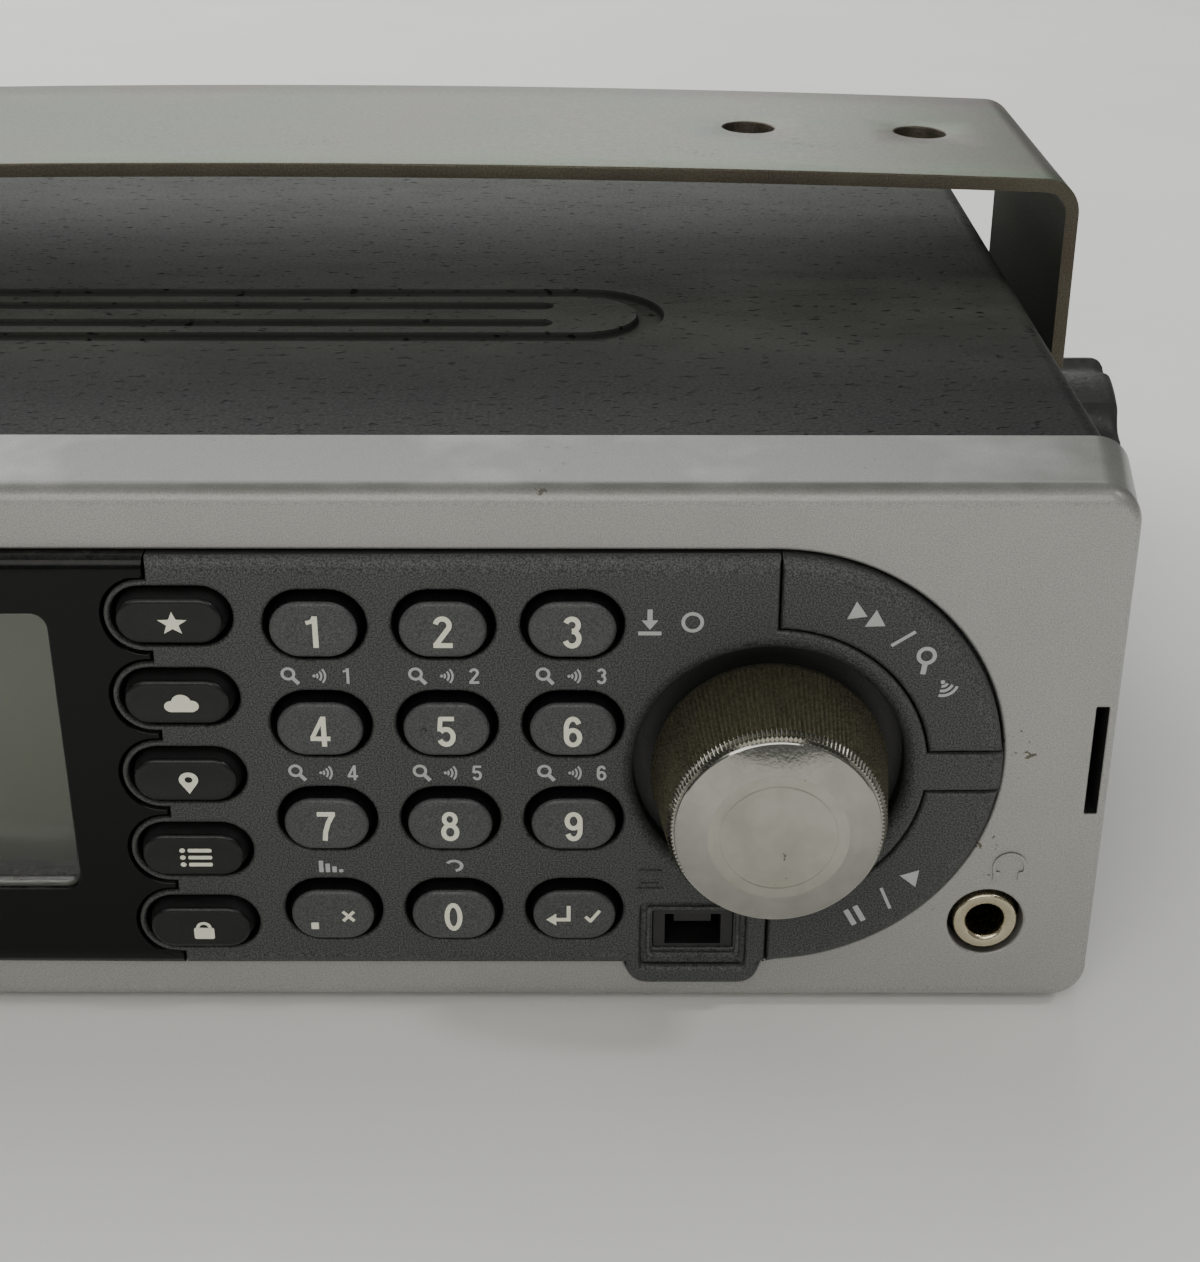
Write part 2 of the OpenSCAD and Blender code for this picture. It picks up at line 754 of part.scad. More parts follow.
module board_screws() {
    color([0.7, 0.7, 0.7]) {
        for (p = board_posts()) {
            slab(bezel_wall + 2, board_back) translate(p) circle(r = 1);
            slab(board_back, board_back + 1.2) translate(p) circle(r = 2);
        }
        for (p = main_posts()) translate([p[0], p[1], 0]) {
            translate([0, 0, sheet_t + 1]) cylinder(r = 1, h = main_z + board_t - sheet_t - 1);
            translate([0, 0, main_z + board_t]) cylinder(r = 2, h = 1.2);
        }
    }
}

// Rear connectors.

module aerial_socket() {
    color([0.78, 0.76, 0.7]) {
        turn_rear(aerial_x, aerial_z, [
            [3.9, -8], [5.6, -8], [5.6, -panel_t - 1], [5.6, 0], [7, 0], [7, 2.4],
            [aerial_r - 0.3, 3], [aerial_r - 0.3, 10.2], [aerial_r, 10.2], [aerial_r, 14],
            [4.1, 14], [4.1, 4.5], [3.9, 4.5]]);
        // the two bayonet lugs, on the relieved part behind the mouth
        for (s = [-1, 1]) translate([aerial_x + s * (aerial_r + 0.35), rear_y + 9, aerial_z])
            rotate([0, 90, 0]) cylinder(r = 1, h = 1.7, center = true);
    }
}

module aerial_core() {
    color([0.93, 0.92, 0.88]) turn_rear(aerial_x, aerial_z, [
        [0, -12], [0.7, -12], [0.7, -8], [3.9, -8], [3.9, 4.5], [2.4, 4.5], [2.4, 12],
        [0.9, 12], [0.9, 9], [0, 9]]);
}

module speaker_jack() {
    color([0.05, 0.05, 0.05]) difference() {
        union() {
            translate([rear_jack_x - 4.8, rear_y - plug_deep - 2, power_z - 4.8])
                cube([9.6, plug_deep + 2 - panel_t - 0.1, 9.6]);
            translate([rear_jack_x, rear_y - panel_t - 0.2, power_z]) rotate([-90, 0, 0])
                cylinder(r = 4.7, h = panel_t + 0.3);
            translate([rear_jack_x, rear_y, power_z]) rotate([-90, 0, 0]) cylinder(r = 7, h = 0.8);
        }
        translate([rear_jack_x, rear_y + 1, power_z]) rotate([90, 0, 0])
            cylinder(r = plug_r, h = plug_deep + 1);
    }
}

module power_jack() {
    color([0.05, 0.05, 0.05]) {
        difference() {
            union() {
                translate([power_x - 5.3, rear_y - 12, power_z - 5.3])
                    cube([10.6, 12 - panel_t - 0.1, 10.6]);
                translate([power_x, rear_y - panel_t - 0.2, power_z]) rotate([-90, 0, 0])
                    cylinder(r = 5.2, h = panel_t + 0.3);
                translate([power_x, rear_y, power_z]) rotate([-90, 0, 0]) cylinder(r = 8, h = 0.8);
            }
            translate([power_x, rear_y + 1, power_z]) rotate([90, 0, 0]) cylinder(r = 2.8, h = 11);
        }
        translate([power_x, rear_y, power_z]) rotate([90, 0, 0]) cylinder(r = 1, h = 11);
    }
}

module data_port() {
    color([0.7, 0.7, 0.68]) {
        difference() {
            union() {
                translate([data_x - 10.3, rear_y - 10, data_z - 5.8]) cube([20.6, 10.4, 11.6]);
                translate([data_x - 15.4, rear_y, data_z - 6.3]) cube([30.8, 0.8, 12.6]);
            }
            translate([data_x - 8.3, rear_y - 5.6, data_z - 4]) cube([16.6, 7, 8]);
        }
        for (row = [0, 1], i = [0:4 - row])
            translate([data_x - 5.5 + row * 1.38 + i * 2.76, rear_y - 5.7, data_z + 1.4 - 2.8 * row])
                rotate([-90, 0, 0]) cylinder(r = 0.5, h = 5.2);
    }
}

// Bracket.

function strap_z(x) = strap_end + strap_bow * (1 - pow(x / (arm_out - bend_r), 2));

// the right half of a line that runs a distance inside the strap's outer face
function half_line(depth) = concat(
    [[arm_out - depth, pivot_h - strap_w]],
    [for (a = [0:15:75]) [arm_out - bend_r + (bend_r - depth) * cos(a),
        strap_end - bend_r + (bend_r - depth) * sin(a)]],
    [for (i = [12:-1:1]) [(arm_out - bend_r) * i / 12, strap_z((arm_out - bend_r) * i / 12) - depth]]);

function reversed(list) = [for (i = [len(list) - 1:-1:0]) list[i]];
function mirrored(list) = [for (p = list) [-p[0], p[1]]];

// from the right foot over the top to the left foot
function whole_line(depth) = concat(half_line(depth), [[0, strap_z(0) - depth]],
    reversed(mirrored(half_line(depth))));

module bracket() {
    color([0.56, 0.58, 0.53]) difference() {
        intersection() {
            translate([0, pivot_back + strap_w / 2, 0]) rotate([90, 0, 0])
                linear_extrude(height = strap_w)
                    polygon(points = concat(whole_line(0), reversed(whole_line(strap_t))));
            translate([-case_w, pivot_back, 0]) rotate([90, 0, 90]) linear_extrude(height = 2 * case_w) {
                translate([0, pivot_h]) circle(r = foot_r);
                polygon(points = [[-foot_r, pivot_h], [foot_r, pivot_h],
                    [strap_w / 2, pivot_h + foot_r], [strap_w / 2, strap_end + 2 * strap_bow],
                    [-strap_w / 2, strap_end + 2 * strap_bow], [-strap_w / 2, pivot_h + foot_r]]);
            }
        }
        for (s = [-1, 1]) translate([0, pivot_back, pivot_h])
            rotate([0, s * 90, 0]) cylinder(r = stud_r + 0.35, h = case_w);
        for (s = [-1, 1], t = [-1, 1])
            translate([s * (strap_hole_x + t * strap_hole_pitch / 2), pivot_back, strap_end - 10])
                cylinder(r = strap_hole_r, h = 30);
    }
}

// rubber spacers between the cover and the bracket's arms
module spacers() {
    color([0.05, 0.05, 0.05]) for (s = [-1, 1]) turn_side(s, [
        [nut_r + 1.4, cover_x], [thumb_r - 4, cover_x], [thumb_r - 4, arm_in - 0.2],
        [nut_r + 1.4, arm_in - 0.2]]);
}

// clinch nuts that take the thumb screws
module clinch_nuts() {
    color([0.7, 0.68, 0.6]) for (s = [-1, 1]) turn_side(s, [
        [stud_r + run_gap, cover_x - nut_deep], [nut_r, cover_x - nut_deep],
        [nut_r, cover_x - sheet_t], [nut_r - 1, cover_x - sheet_t], [nut_r - 1, cover_x + 0.8],
        [stud_r + run_gap, cover_x + 0.8]]);
}

module thumb_knob(side) {
    color([0.06, 0.06, 0.06]) difference() {
        turn_side(side, [
            [0, cover_x - nut_deep + 1], [stud_r, cover_x - nut_deep + 1], [stud_r, thumb_in],
            [thumb_r - 4, thumb_in], [thumb_r - 4, thumb_in + 1], [thumb_r, thumb_in + 1.6],
            [thumb_r, thumb_in + thumb_t - 1.2], [thumb_r - 1.2, thumb_in + thumb_t],
            [thumb_r - 4, thumb_in + thumb_t], [thumb_r - 5, thumb_in + thumb_t - 1.5],
            [0, thumb_in + thumb_t - 1.5]]);
        // finger scallops
        for (a = [0:45:315]) translate([0, pivot_back, pivot_h]) rotate([a, 0, 0])
            translate([side * (thumb_in + 1.2), thumb_r + 2.2, 0]) rotate([0, side * 90, 0])
                cylinder(r = 3.6, h = thumb_t);
    }
}

// What is drawn.

front_bezel();
keypad_panel();
display_lens();
display_window();
lcd_glass();
lcd_holder();
keypad_mat();
front_board();
number_key(0, 0);  // key_1
number_key(1, 0);  // key_2
number_key(2, 0);  // key_3
number_key(0, 1);  // key_4
number_key(1, 1);  // key_5
number_key(2, 1);  // key_6
number_key(0, 2);  // key_7
number_key(1, 2);  // key_8
number_key(2, 2);  // key_9
number_key(0, 3);  // key_point
number_key(1, 3);  // key_0
number_key(2, 3);  // key_enter
function_key(0);  // fn_key_1
function_key(1);  // fn_key_2
function_key(2);  // fn_key_3
function_key(3);  // fn_key_4
function_key(4);  // fn_key_5
arc_key(1);  // scan_key
arc_key(-1);  // hold_key
scroll_knob();
scroll_cap();
encoder_body();
encoder_rotor();
encoder_shaft();
side_knob(1);  // volume_knob
side_knob(-1);  // squelch_knob
side_pots();
side_shaft(1);  // volume_shaft
side_shaft(-1);  // squelch_shaft
headphone_jack();
headphone_ferrule();
serial_socket();
top_cover();
bottom_tray();
rear_panel();
heat_sink();
main_board();
shield_cans();
flat_cable();
speaker();
case_screws();
board_screws();
aerial_socket();
aerial_core();
speaker_jack();
power_jack();
data_port();
bracket();
spacers();
thumb_knob(-1);  // thumb_knob_left
thumb_knob(1);  // thumb_knob_right
clinch_nuts();
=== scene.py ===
import json
import math
import bmesh
import bpy
from mathutils import Matrix, Vector
from mathutils.geometry import delaunay_2d_cdt


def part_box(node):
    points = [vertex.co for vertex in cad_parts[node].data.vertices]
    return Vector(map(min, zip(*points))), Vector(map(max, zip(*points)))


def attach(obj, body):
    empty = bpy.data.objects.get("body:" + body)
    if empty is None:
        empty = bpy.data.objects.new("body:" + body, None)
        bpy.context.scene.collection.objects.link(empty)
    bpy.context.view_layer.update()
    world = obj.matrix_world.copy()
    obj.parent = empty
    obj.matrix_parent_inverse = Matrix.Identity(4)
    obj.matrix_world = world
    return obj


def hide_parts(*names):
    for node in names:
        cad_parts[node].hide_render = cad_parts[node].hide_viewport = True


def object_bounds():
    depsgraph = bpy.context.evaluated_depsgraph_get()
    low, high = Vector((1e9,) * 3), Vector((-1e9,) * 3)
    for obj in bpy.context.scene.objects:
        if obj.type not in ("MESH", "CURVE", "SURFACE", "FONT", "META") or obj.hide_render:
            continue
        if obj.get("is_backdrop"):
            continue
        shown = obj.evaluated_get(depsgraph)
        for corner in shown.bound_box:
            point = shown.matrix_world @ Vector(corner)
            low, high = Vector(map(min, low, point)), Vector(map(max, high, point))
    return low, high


# Mobile police scanner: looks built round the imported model.
# Shapes are drawn in millimetres and stored in metres.
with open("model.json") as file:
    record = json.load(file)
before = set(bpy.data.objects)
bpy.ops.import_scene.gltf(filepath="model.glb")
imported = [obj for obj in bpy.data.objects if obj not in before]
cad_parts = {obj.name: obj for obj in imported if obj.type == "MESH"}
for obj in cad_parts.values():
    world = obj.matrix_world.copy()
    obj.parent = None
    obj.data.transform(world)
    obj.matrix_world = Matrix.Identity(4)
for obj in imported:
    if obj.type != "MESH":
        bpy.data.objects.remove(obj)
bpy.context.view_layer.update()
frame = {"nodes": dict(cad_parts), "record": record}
scene = bpy.context.scene
mm = 0.001


def linear(hexText):
    parts = [int(hexText[i:i + 2], 16) / 255 for i in (1, 3, 5)]
    return tuple(p / 12.92 if p <= 0.04045 else ((p + 0.055) / 1.055) ** 2.4 for p in parts) + (1,)


# Adds a node and gives one of its outputs. A setting is a value, or a socket to link; "stops" fills a ramp.
def addNode(tree, kind, settings=(), output=0):
    node = tree.nodes.new(kind)
    for key, value in dict(settings).items():
        if key == "stops":
            while len(node.color_ramp.elements) < len(value):
                node.color_ramp.elements.new(0.5)
            for element, (spot, tone) in zip(node.color_ramp.elements, value):
                element.position = spot
                element.color = linear(tone) if isinstance(tone, str) else (tone, tone, tone, 1)
        elif isinstance(value, bpy.types.NodeSocket):
            tree.links.new(value, node.inputs[key])
        elif isinstance(key, int) or key in node.inputs:
            node.inputs[key].default_value = value
        else:
            setattr(node, key, value)
    return node.outputs[output]


def startMaterial(name, shader):
    made = bpy.data.materials.new(name)
    made.use_nodes = True
    tree = made.node_tree
    bsdf = tree.nodes["Principled BSDF"]
    for key, value in shader.items():
        bsdf.inputs[key].default_value = value
    made.diffuse_color = tuple(bsdf.inputs["Base Color"].default_value)
    return made, tree, addNode(tree, "ShaderNodeTexCoord", output="Object")


# Links what was worked out to the material's shader.
def endMaterial(made, sockets):
    tree = made.node_tree
    for key, socket in sockets.items():
        tree.links.new(socket, tree.nodes["Principled BSDF"].inputs[key])
    return made


# A moulded, painted or plated surface: two tones mixed by a mottle, a fine grain in
# roughness and relief, and where wanted specks, dark marks, a layer on upward faces (dust;
# painted shade on the silver paint), a painted shade band on rolled edges, a painted sheen
# mixed with dust, and pits darkened inside by painted shade.
def surfaceOf(name, look):
    shader = {"Base Color": linear(look["tone"]), "Metallic": look.get("metallic", 0.0),
              "Roughness": look["roughness"]}
    if look.get("metallic", 0.0) < 0.5:
        shader["IOR"] = look.get("ior", 1.5)
    for key, label in (("shine", "Specular IOR Level"), ("coat", "Coat Weight"),
                       ("coatRoughness", "Coat Roughness")):
        if key in look:
            shader[label] = look[key]
    made, tree, place = startMaterial(name, shader)
    normal = addNode(tree, "ShaderNodeNewGeometry", output="Normal")
    up = addNode(tree, "ShaderNodeSeparateXYZ", {"Vector": normal}, "Z")
    wide = addNode(tree, "ShaderNodeMapping", {"Vector": place, "Scale": (0.5, 1.0, 1.0)})

    def noise(sizeMm, detail, roughness=0.5, spot=place):
        return addNode(tree, "ShaderNodeTexNoise", {
            "Vector": spot, "Scale": 1 / (sizeMm * mm), "Detail": detail, "Roughness": roughness})

    colour = addNode(tree, "ShaderNodeValToRGB", {
        "Fac": noise(look["mottleMm"], 4, 0.6), "stops": [(0.3, look["tone"]), (0.7, look["second"])]})
    if "speckMm" in look:
        # flakes and pigment grains, drawn as coarse as they need to show
        specks = addNode(tree, "ShaderNodeValToRGB", {
            "Fac": noise(look["speckMm"], 1),
            "stops": [(0.36, look["speckDark"]), (0.64, look["speckLight"])]})
        colour = addNode(tree, "ShaderNodeMix", {
            "data_type": "RGBA", 0: look["speckShare"], 6: colour, 7: specks}, 2)
    # what lies on the paint, and painted light and shade, from below: (tone, how much of it shows)
    layers = []
    if "marks" in look:
        # sparse scuffs: where a broad noise and a fine one are both high
        marks = look["marks"]
        both = addNode(tree, "ShaderNodeMath", {
            "operation": "MULTIPLY", 0: noise(marks["patchMm"], 2), 1: noise(marks["sizeMm"], 3, 0.7)})
        edge = marks["threshold"]
        layers.append((marks["tone"], addNode(tree, "ShaderNodeValToRGB", {
            "Fac": both, "stops": [(edge, 0.0), (edge + marks.get("soft", 0.02), 1.0)]})))
    # a layer on upward faces: real dust on most finishes; on the silver paint its dark tone is painted shade
    # on the top faces
    if "dustAndShade" in look:
        dustAndShade = look["dustAndShade"]
        lie = addNode(tree, "ShaderNodeMath", {
            "operation": "MULTIPLY", "use_clamp": True, 0: up, 1: noise(dustAndShade["sizeMm"], 5, 0.7)})
        layers.append((dustAndShade["tone"], addNode(tree, "ShaderNodeValToRGB", {
            "Fac": lie, "stops": [(0.3, 0.0), (dustAndShade.get("full", 0.8), dustAndShade["share"])]})))
    if "haze" in look:
        # painted sheen mixed with wiped dust: a pale layer on upward faces that grows from the front towards
        # the strap
        haze = look["haze"]
        near = addNode(tree, "ShaderNodeMapRange", {
            "Value": addNode(tree, "ShaderNodeSeparateXYZ", {"Vector": place}, "Y"),
            "From Min": haze["fromY"] * mm, "From Max": haze["toY"] * mm, "To Max": 2 * haze["share"]})
        level = addNode(tree, "ShaderNodeMath", {"operation": "MULTIPLY", "use_clamp": True, 0: near, 1: up})
        layers.append((haze["tone"], addNode(tree, "ShaderNodeMath", {
            "operation": "MULTIPLY", 0: level, 1: noise(haze["sizeMm"], 4, 0.65, wide)})))
    if "rollShade" in look:
        # painted shade: a darker band in the paint where a face rolls from upright to level, chosen by which
        # way the face looks
        share = look["rollShade"]["share"]
        layers.append((look["rollShade"]["tone"], addNode(tree, "ShaderNodeValToRGB", {
            "Fac": up, "stops": [(0.2, 0.0), (0.5, share), (0.82, share), (0.95, 0.0)]})))
    for tone, share in layers:
        colour = addNode(tree, "ShaderNodeMix", {
            "data_type": "RGBA", 0: share, 6: colour, 7: linear(tone)}, 2)
    grain, spread = noise(look["grainMm"], 2), look.get("roughnessSpread", 0.08)
    rough = addNode(tree, "ShaderNodeMapRange", {
        "Value": grain, "From Min": 0.3, "From Max": 0.7, "To Min": look["roughness"] - spread,
        "To Max": look["roughness"] + spread})
    bump = addNode(tree, "ShaderNodeBump", {
        "Height": grain, "Strength": look["bump"], "Distance": look["grainMm"] * 0.3 * mm})
    if "pitMm" in look:
        # small pits in the coat, longer across than from front to back, their insides darkened to near black
        # as painted shade
        pitsWithShade = addNode(tree, "ShaderNodeValToRGB", {
            "Fac": noise(look["pitMm"], 1, 0.5, wide), "stops": [(0.27, 0.0), (0.36, 1.0)]})
        colour = addNode(tree, "ShaderNodeMix", {
            "data_type": "RGBA", 0: pitsWithShade, 6: (0.002, 0.002, 0.002, 1), 7: colour}, 2)
        bump = addNode(tree, "ShaderNodeBump", {
            "Height": pitsWithShade, "Normal": bump, "Strength": look["pit"], "Distance": look["pitMm"] * 0.3 * mm})
    return endMaterial(made, {"Base Color": colour, "Roughness": rough, "Normal": bump})


finishes = {
    # silver paint over moulded ABS: satin, with metal flakes that catch the light one by one
    "silverPaint": dict(tone="#959591", second="#9d9c98", mottleMm=9, roughness=0.46, metallic=0.5,
                        grainMm=0.12, bump=0.32, speckMm=0.13, speckDark="#8f8f8c",
                        speckLight="#b9b8b3", speckShare=0.5, coat=0.3, coatRoughness=0.16,
                        # painted shade along the rolled front edge
                        rollShade=dict(share=0.3, tone="#55554f"),
                        # painted shade: this dark layer darkens the bezel's upward faces
                        dustAndShade=dict(sizeMm=70, share=0.8, full=0.55, tone="#45473f"),
                        marks=dict(patchMm=17, sizeMm=1.1, threshold=0.43, tone="#5c594c")),
    # speckled grey paint on moulded plastic: matt, with light and dark pigment grains
    "speckledGrey": dict(tone="#2c2e2e", second="#313332", mottleMm=14, roughness=0.54, grainMm=0.16,
                         bump=0.5, speckMm=0.15, speckDark="#101111", speckLight="#5c5e5c",
                         speckShare=0.65, ior=1.48),
    # the same paint on the keys, a little smoother where fingers rub it
    "keyGrey": dict(tone="#343636", second="#3a3c3b", mottleMm=4, roughness=0.44, grainMm=0.16,
                    bump=0.35, speckMm=0.14, speckDark="#1f2123", speckLight="#5c5e5d",
                    speckShare=0.5, ior=1.5),
    # black backed acrylic: deep and glossy, with a faint haze of wiping marks
    "blackAcrylic": dict(tone="#060707", second="#090a0a", mottleMm=20, roughness=0.2, grainMm=0.5,
                         bump=0.03, roughnessSpread=0.06, ior=1.49, shine=0.2,
                         dustAndShade=dict(sizeMm=1.2, share=0.2, tone="#77766f")),
    # black moulded ABS keys: half gloss, with fingertip wear
    "blackKey": dict(tone="#0a0b0b", second="#101111", mottleMm=3, roughness=0.34, shine=0.35, grainMm=0.25,
                     bump=0.12, ior=1.53),
    # black moulded ABS: fine spark-eroded grain
    "blackPlastic": dict(tone="#151515", second="#1d1d1d", mottleMm=5, roughness=0.5, grainMm=0.3,
                         bump=0.3, ior=1.53),
    # pale silicone: soft and slightly waxy
    "silicone": dict(tone="#8f8f88", second="#9a9a92", mottleMm=6, roughness=0.6, grainMm=0.4,
                     bump=0.15, ior=1.41),
    # dark anodised aluminium, cut to a knurl: olive brown with dust in the valleys
    "darkAnodised": dict(tone="#5d5a4b", second="#6d6a52", mottleMm=2.2, roughness=0.42,
                         metallic=0.75, grainMm=0.12, bump=0.3, speckMm=0.3, speckDark="#3d3b2f",
                         speckLight="#a09d84", speckShare=0.35),
    # bright turned aluminium edge
    "cutAluminium": dict(tone="#96958e", second="#a3a29b", mottleMm=3, roughness=0.1, metallic=1.0,
                         grainMm=0.3, bump=0.08, roughnessSpread=0.05),
    # nickel plated brass: warm silver with a slight yellow cast
    "nickelPlate": dict(tone="#bdb39a", second="#cbc2a8", mottleMm=2, roughness=0.24, metallic=1.0,
                        grainMm=0.3, bump=0.1, roughnessSpread=0.08),
    # black powder coat on steel: matt, with small pits darkened inside by painted shade, scuffs, dust, and a
    # painted sheen that pales it towards the strap
    "powderCoat": dict(tone="#101110", second="#161715", mottleMm=30, roughness=0.55, grainMm=0.4,
                       bump=0.3, pitMm=0.8, pit=0.5, ior=1.5, shine=0.1,
                       # painted sheen with some dust: paler towards the strap
                       haze=dict(fromY=-50, toY=-26, share=0.17, sizeMm=14, tone="#8b8f82"),
                       marks=dict(patchMm=9, sizeMm=0.9, threshold=0.47, soft=0.04, tone="#1b1b19"),
                       dustAndShade=dict(sizeMm=7, share=0.03, tone="#77776f")),
    # black paint on an aluminium die casting: matt and slightly grainy
    "castPaint": dict(tone="#232323", second="#2b2b2a", mottleMm=8, roughness=0.55, grainMm=0.6,
                      bump=0.5, ior=1.5, dustAndShade=dict(sizeMm=3, share=0.25, tone="#6c6b64")),
    # black anodised extrusion: dark metal with a dry satin
    "blackAnodised": dict(tone="#1c1c1e", second="#242426", mottleMm=6, roughness=0.42,
                          metallic=0.6, grainMm=0.3, bump=0.2),
    # tin plated steel: pale and even, a little cloudy
    "tinPlate": dict(tone="#b9b9b4", second="#a9a9a3", mottleMm=5, roughness=0.34, metallic=1.0,
                     grainMm=0.5, bump=0.15),
    # bright zinc plated steel: blue grey spangle
    "zincSteel": dict(tone="#a9abac", second="#bdbcb4", mottleMm=2.5, roughness=0.36, metallic=1.0,
                      grainMm=0.4, bump=0.2),
    # black zinc plated screws: dark metal, worn paler in patches
    "blackZinc": dict(tone="#1b1b1c", second="#2b2b2b", mottleMm=1.2, roughness=0.4, metallic=0.8,
                      grainMm=0.25, bump=0.25),
    # polyester ribbon cable: pale and smooth
    "ribbonFilm": dict(tone="#c8c7c0", second="#d2d1ca", mottleMm=3, roughness=0.4, grainMm=0.6,
                       bump=0.1, ior=1.64),
    # pressed paper cone: dull fibres
    "conePaper": dict(tone="#1f1e1d", second="#2a2826", mottleMm=1.5, roughness=0.85, grainMm=0.35,
                      bump=0.7, ior=1.5),
    # white fluoropolymer: waxy white
    "whiteInsulator": dict(tone="#dedcd2", second="#e6e4da", mottleMm=3, roughness=0.45,
                           grainMm=0.4, bump=0.1, ior=1.38),
    # black rubber: dull, with a grey bloom
    "blackRubber": dict(tone="#161616", second="#202020", mottleMm=3, roughness=0.72, grainMm=0.4,
                        bump=0.35, ior=1.52),
    # black moulded grip: satin, with dusty edges
    "gripPlastic": dict(tone="#1a1b1b", second="#222323", mottleMm=5, roughness=0.48, grainMm=0.5,
                        bump=0.4, ior=1.53, dustAndShade=dict(sizeMm=2, share=0.3, tone="#7a7972")),
    # silver painted knob skirt
    "silverKnob": dict(tone="#9f9e9a", second="#a8a7a2", mottleMm=4, roughness=0.36, metallic=0.75,
                       grainMm=0.15, bump=0.25, speckMm=0.2, speckDark="#8b8b88",
                       speckLight="#b5b4af", speckShare=0.4),
    # printed ink, warm white and slightly porous
    "whiteInk": dict(tone="#dcdcc6", second="#e6e6d2", mottleMm=0.8, roughness=0.6, grainMm=0.12,
                     bump=0.2, ior=1.5),
    "greyInk": dict(tone="#a9aaa8", second="#b6b7b4", mottleMm=0.6, roughness=0.6, grainMm=0.12,
                    bump=0.2, ior=1.5),
}
materials = {name: surfaceOf(name, look) for name, look in finishes.items()}


# Spun aluminium: concentric turning marks, a fine stretched highlight and a few specks.
def makeSpunFace(centre):
    made, tree, place = startMaterial("spunAluminium", {
        "Base Color": linear("#a5a399"), "Metallic": 1.0, "Roughness": 0.34})
    local = addNode(tree, "ShaderNodeVectorMath", {"operation": "SUBTRACT", 0: place, 1: tuple(centre * mm)})
    flat = addNode(tree, "ShaderNodeVectorMath", {"operation": "MULTIPLY", 0: local, 1: (1, 0, 1)})
    radius = addNode(tree, "ShaderNodeVectorMath", {"operation": "LENGTH", 0: flat}, "Value")
    # one turning mark every 0.12 mm
    along = addNode(tree, "ShaderNodeMath", {"operation": "MULTIPLY", 0: radius, 1: 1 / (0.12 * mm)})
    lines = addNode(tree, "ShaderNodeTexNoise", {
        "noise_dimensions": "1D", "W": along, "Scale": 1.0, "Detail": 2.0})
    speck, cloud = (addNode(tree, "ShaderNodeTexNoise", {
        "Vector": place, "Scale": 1 / (sizeMm * mm), "Detail": 3, "Roughness": rough})
        for sizeMm, rough in ((1.3, 0.75), (4.5, 0.6)))
    stain = addNode(tree, "ShaderNodeValToRGB", {"Fac": speck, "stops": [(0.69, 0.0), (0.73, 1.0)]})
    tone = addNode(tree, "ShaderNodeValToRGB", {"Fac": cloud, "stops": [(0.3, "#9d9b91"), (0.7, "#aeaca3")]})
    colour = addNode(tree, "ShaderNodeMix", {"data_type": "RGBA", 0: stain, 6: tone, 7: linear("#6b685c")}, 2)
    rough = addNode(tree, "ShaderNodeMapRange", {"Value": lines, "To Min": 0.26, "To Max": 0.42})
    bump = addNode(tree, "ShaderNodeBump", {"Height": lines, "Strength": 0.12, "Distance": 0.02 * mm})
    return endMaterial(made, {"Base Color": colour, "Roughness": rough, "Normal": bump})


# Yellow passivated zinc on steel: grey green, with pink and gold drifting over it.
def makePassivatedZinc():
    made, tree, place = startMaterial("passivatedZinc", {
        "Base Color": linear("#7d8477"), "Metallic": 0.8, "Roughness": 0.42})
    drift, fine, broad, nick, grain = (addNode(tree, "ShaderNodeTexNoise", {
        "Vector": place, "Scale": 1 / (sizeMm * mm), "Detail": detail, "Roughness": rough})
        for sizeMm, detail, rough in (
            (26, 3, 0.55), (1.4, 4, 0.7), (12, 2, 0.5), (1.1, 3, 0.7), (0.5, 2, 0.5)))
    colour = addNode(tree, "ShaderNodeValToRGB", {"Fac": drift, "stops": [
        (0.28, "#555e52"), (0.42, "#5d6452"), (0.52, "#646253"), (0.6, "#665d55"), (0.72, "#556352")]})
    mottle = addNode(tree, "ShaderNodeValToRGB", {"Fac": fine, "stops": [(0.3, "#4a5044"), (0.7, "#696d5f")]})
    # the thin film shows stronger colour at a shallow angle
    edge = addNode(tree, "ShaderNodeLayerWeight", {"Blend": 0.25}, "Facing")
    film = addNode(tree, "ShaderNodeValToRGB", {"Fac": edge, "stops": [
        (0.0, "#586052"), (0.45, "#536655"), (0.7, "#65585d"), (0.9, "#6d6a4b")]})
    both = addNode(tree, "ShaderNodeMath", {"operation": "MULTIPLY", 0: broad, 1: nick})
    nicks = addNode(tree, "ShaderNodeValToRGB", {"Fac": both, "stops": [(0.43, 0.0), (0.47, 1.0)]})
    for share, tone in ((0.25, mottle), (0.35, film), (nicks, linear("#3e3a2e"))):
        colour = addNode(tree, "ShaderNodeMix", {"data_type": "RGBA", 0: share, 6: colour, 7: tone}, 2)
    rough = addNode(tree, "ShaderNodeMapRange", {"Value": grain, "To Min": 0.34, "To Max": 0.52})
    bump = addNode(tree, "ShaderNodeBump", {"Height": grain, "Strength": 0.18, "Distance": 0.1 * mm})
    return endMaterial(made, {"Base Color": colour, "Roughness": rough, "Normal": bump})


